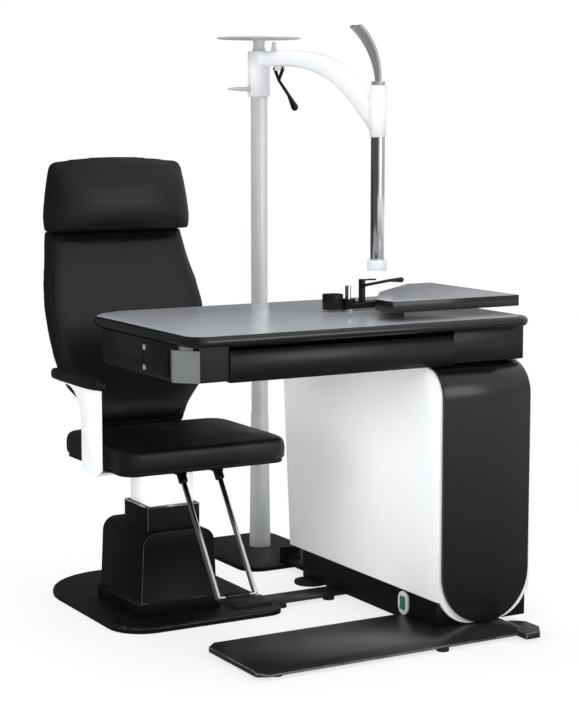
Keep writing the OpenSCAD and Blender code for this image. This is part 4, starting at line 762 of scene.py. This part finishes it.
def sew(obj, path, width, depth):
    """Presses a sewn groove into a cushion along a path."""
    points = [a.lerp(b, t) for a, b in zip(path, path[1:] + path[:1]) for t in SEAM_STEPS]
    tree = KDTree(len(points))
    for i, point in enumerate(points):
        tree.insert(point, i)
    tree.balance()
    normals = [v.normal.copy() for v in obj.data.vertices]
    for v, n in zip(obj.data.vertices, normals):
        _, _, d = tree.find(v.co)
        if d < 3 * width:
            v.co -= n * depth * math.exp(-(d / width) ** 2)


def hang_tail(obj):
    """Lets the lower edge of the backrest's cover hang a little way down behind the seat."""
    lowest = min(v.co.z for v in obj.data.vertices)
    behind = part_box("seat_cushion")[1][1] + TAIL_GAP
    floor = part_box("recline_hinge")[1][2] + HINGE_GAP
    for v in obj.data.vertices:
        if v.co.y > behind and v.co.z < lowest + TAIL_ZONE:
            share = min(1, (v.co.y - behind) / TAIL_RAMP)
            drop = share * TAIL_DROP * (1 - (v.co.z - lowest) / TAIL_ZONE)
            drop = v.co.z - max(floor, v.co.z - drop)
            # Down along the backrest's lean, so that it stays in front of the shell
            v.co.y = max(behind, v.co.y - drop * math.tan(BACK_LEAN))
            v.co.z -= drop


def roll_face(obj, front):
    """Rounds the headrest's face forward across its middle."""
    centre, lo, hi = middle(obj)
    half = (hi - lo) / 2
    for v in obj.data.vertices:
        up = (v.co.z - lo.z) / (hi.z - lo.z)
        up = (up - ROLL_AT) / (1 - ROLL_AT if up > ROLL_AT else ROLL_AT)
        side = (v.co.x - centre.x) / half.x
        depth = min(1, max(0, (v.co - centre).dot(front) / ROLL_DEPTH))
        v.co += front * (ROLL * depth * (1 - up * up) * (1 - side ** 4))


def finish_cushion(obj, node, body, mat):
    obj.data.materials.clear()
    obj.data.materials.append(mat)
    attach(obj, body)
    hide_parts(node)


def make_seat():
    obj = cushion_from("seat_cushion", "seat_pad", voxel=0.006, shrink=0.0015, rounds=1)
    _, lo, hi = middle(obj)
    # Only the top swells: the sides are pulled tight over the block
    rim = lo.z + SEAT_RIM * (hi.z - lo.z)
    inflate(obj, lambda co: co.z < rim, cap=0.009)
    refine(obj)
    fit(obj, "seat_cushion")
    square_off(obj, -Z, depth=0.012)
    # The underside stays flat on the pan
    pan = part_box("seat_cushion")[0][2]
    for v in obj.data.vertices:
        v.co.z = max(v.co.z, pan)
    finish_cushion(obj, "seat_cushion", "seat", mat=M["vinyl"])


def make_back():
    obj = cushion_from("backrest_cushion", "back_pad", voxel=0.006, shrink=0.002, rounds=1)
    front = facing(BACK_LEAN)
    centre = middle(obj)[0]
    # Only the face swells, the back lies on the shell
    inflate(obj, lambda co: (co - centre).dot(front) < BACK_FREE, cap=0.007)
    refine(obj)
    fit(obj, "backrest_cushion")
    square_off(obj, -Z, depth=0.016)
    square_off(obj, Z, depth=0.016)
    hang_tail(obj)
    along = Vector((0, math.sin(BACK_LEAN), math.cos(BACK_LEAN)))
    path = edge_path(obj, middle(obj)[0], X, along, front, SEAM_INSET)
    sew(obj, path, SEAM_WIDTH, SEAM_DEPTH)
    finish_cushion(obj, "backrest_cushion", "backrest", mat=M["vinyl"])


def make_head():
    obj = cushion_from("headrest_cushion", "head_pad", voxel=0.005, shrink=0.002, rounds=1)
    front = facing(HEAD_LEAN)
    centre = middle(obj)[0]
    inflate(obj, lambda co: (co - centre).dot(front) < HEAD_FREE, cap=0.006)
    refine(obj)
    fit(obj, "headrest_cushion")
    square_off(obj, -Z, depth=0.016)
    roll_face(obj, front)
    finish_cushion(obj, "headrest_cushion", "headrest", mat=M["vinyl"])


def make_arm_pad():
    obj = cushion_from("arm_pad", "armrest_pad", voxel=0.004, shrink=0.001, rounds=3)
    refine(obj)
    finish_cushion(obj, "arm_pad", "seat", mat=M["plastic"])


make_seat()
make_back()
make_head()
make_arm_pad()

bpy.context.scene.view_settings.view_transform = "Standard"
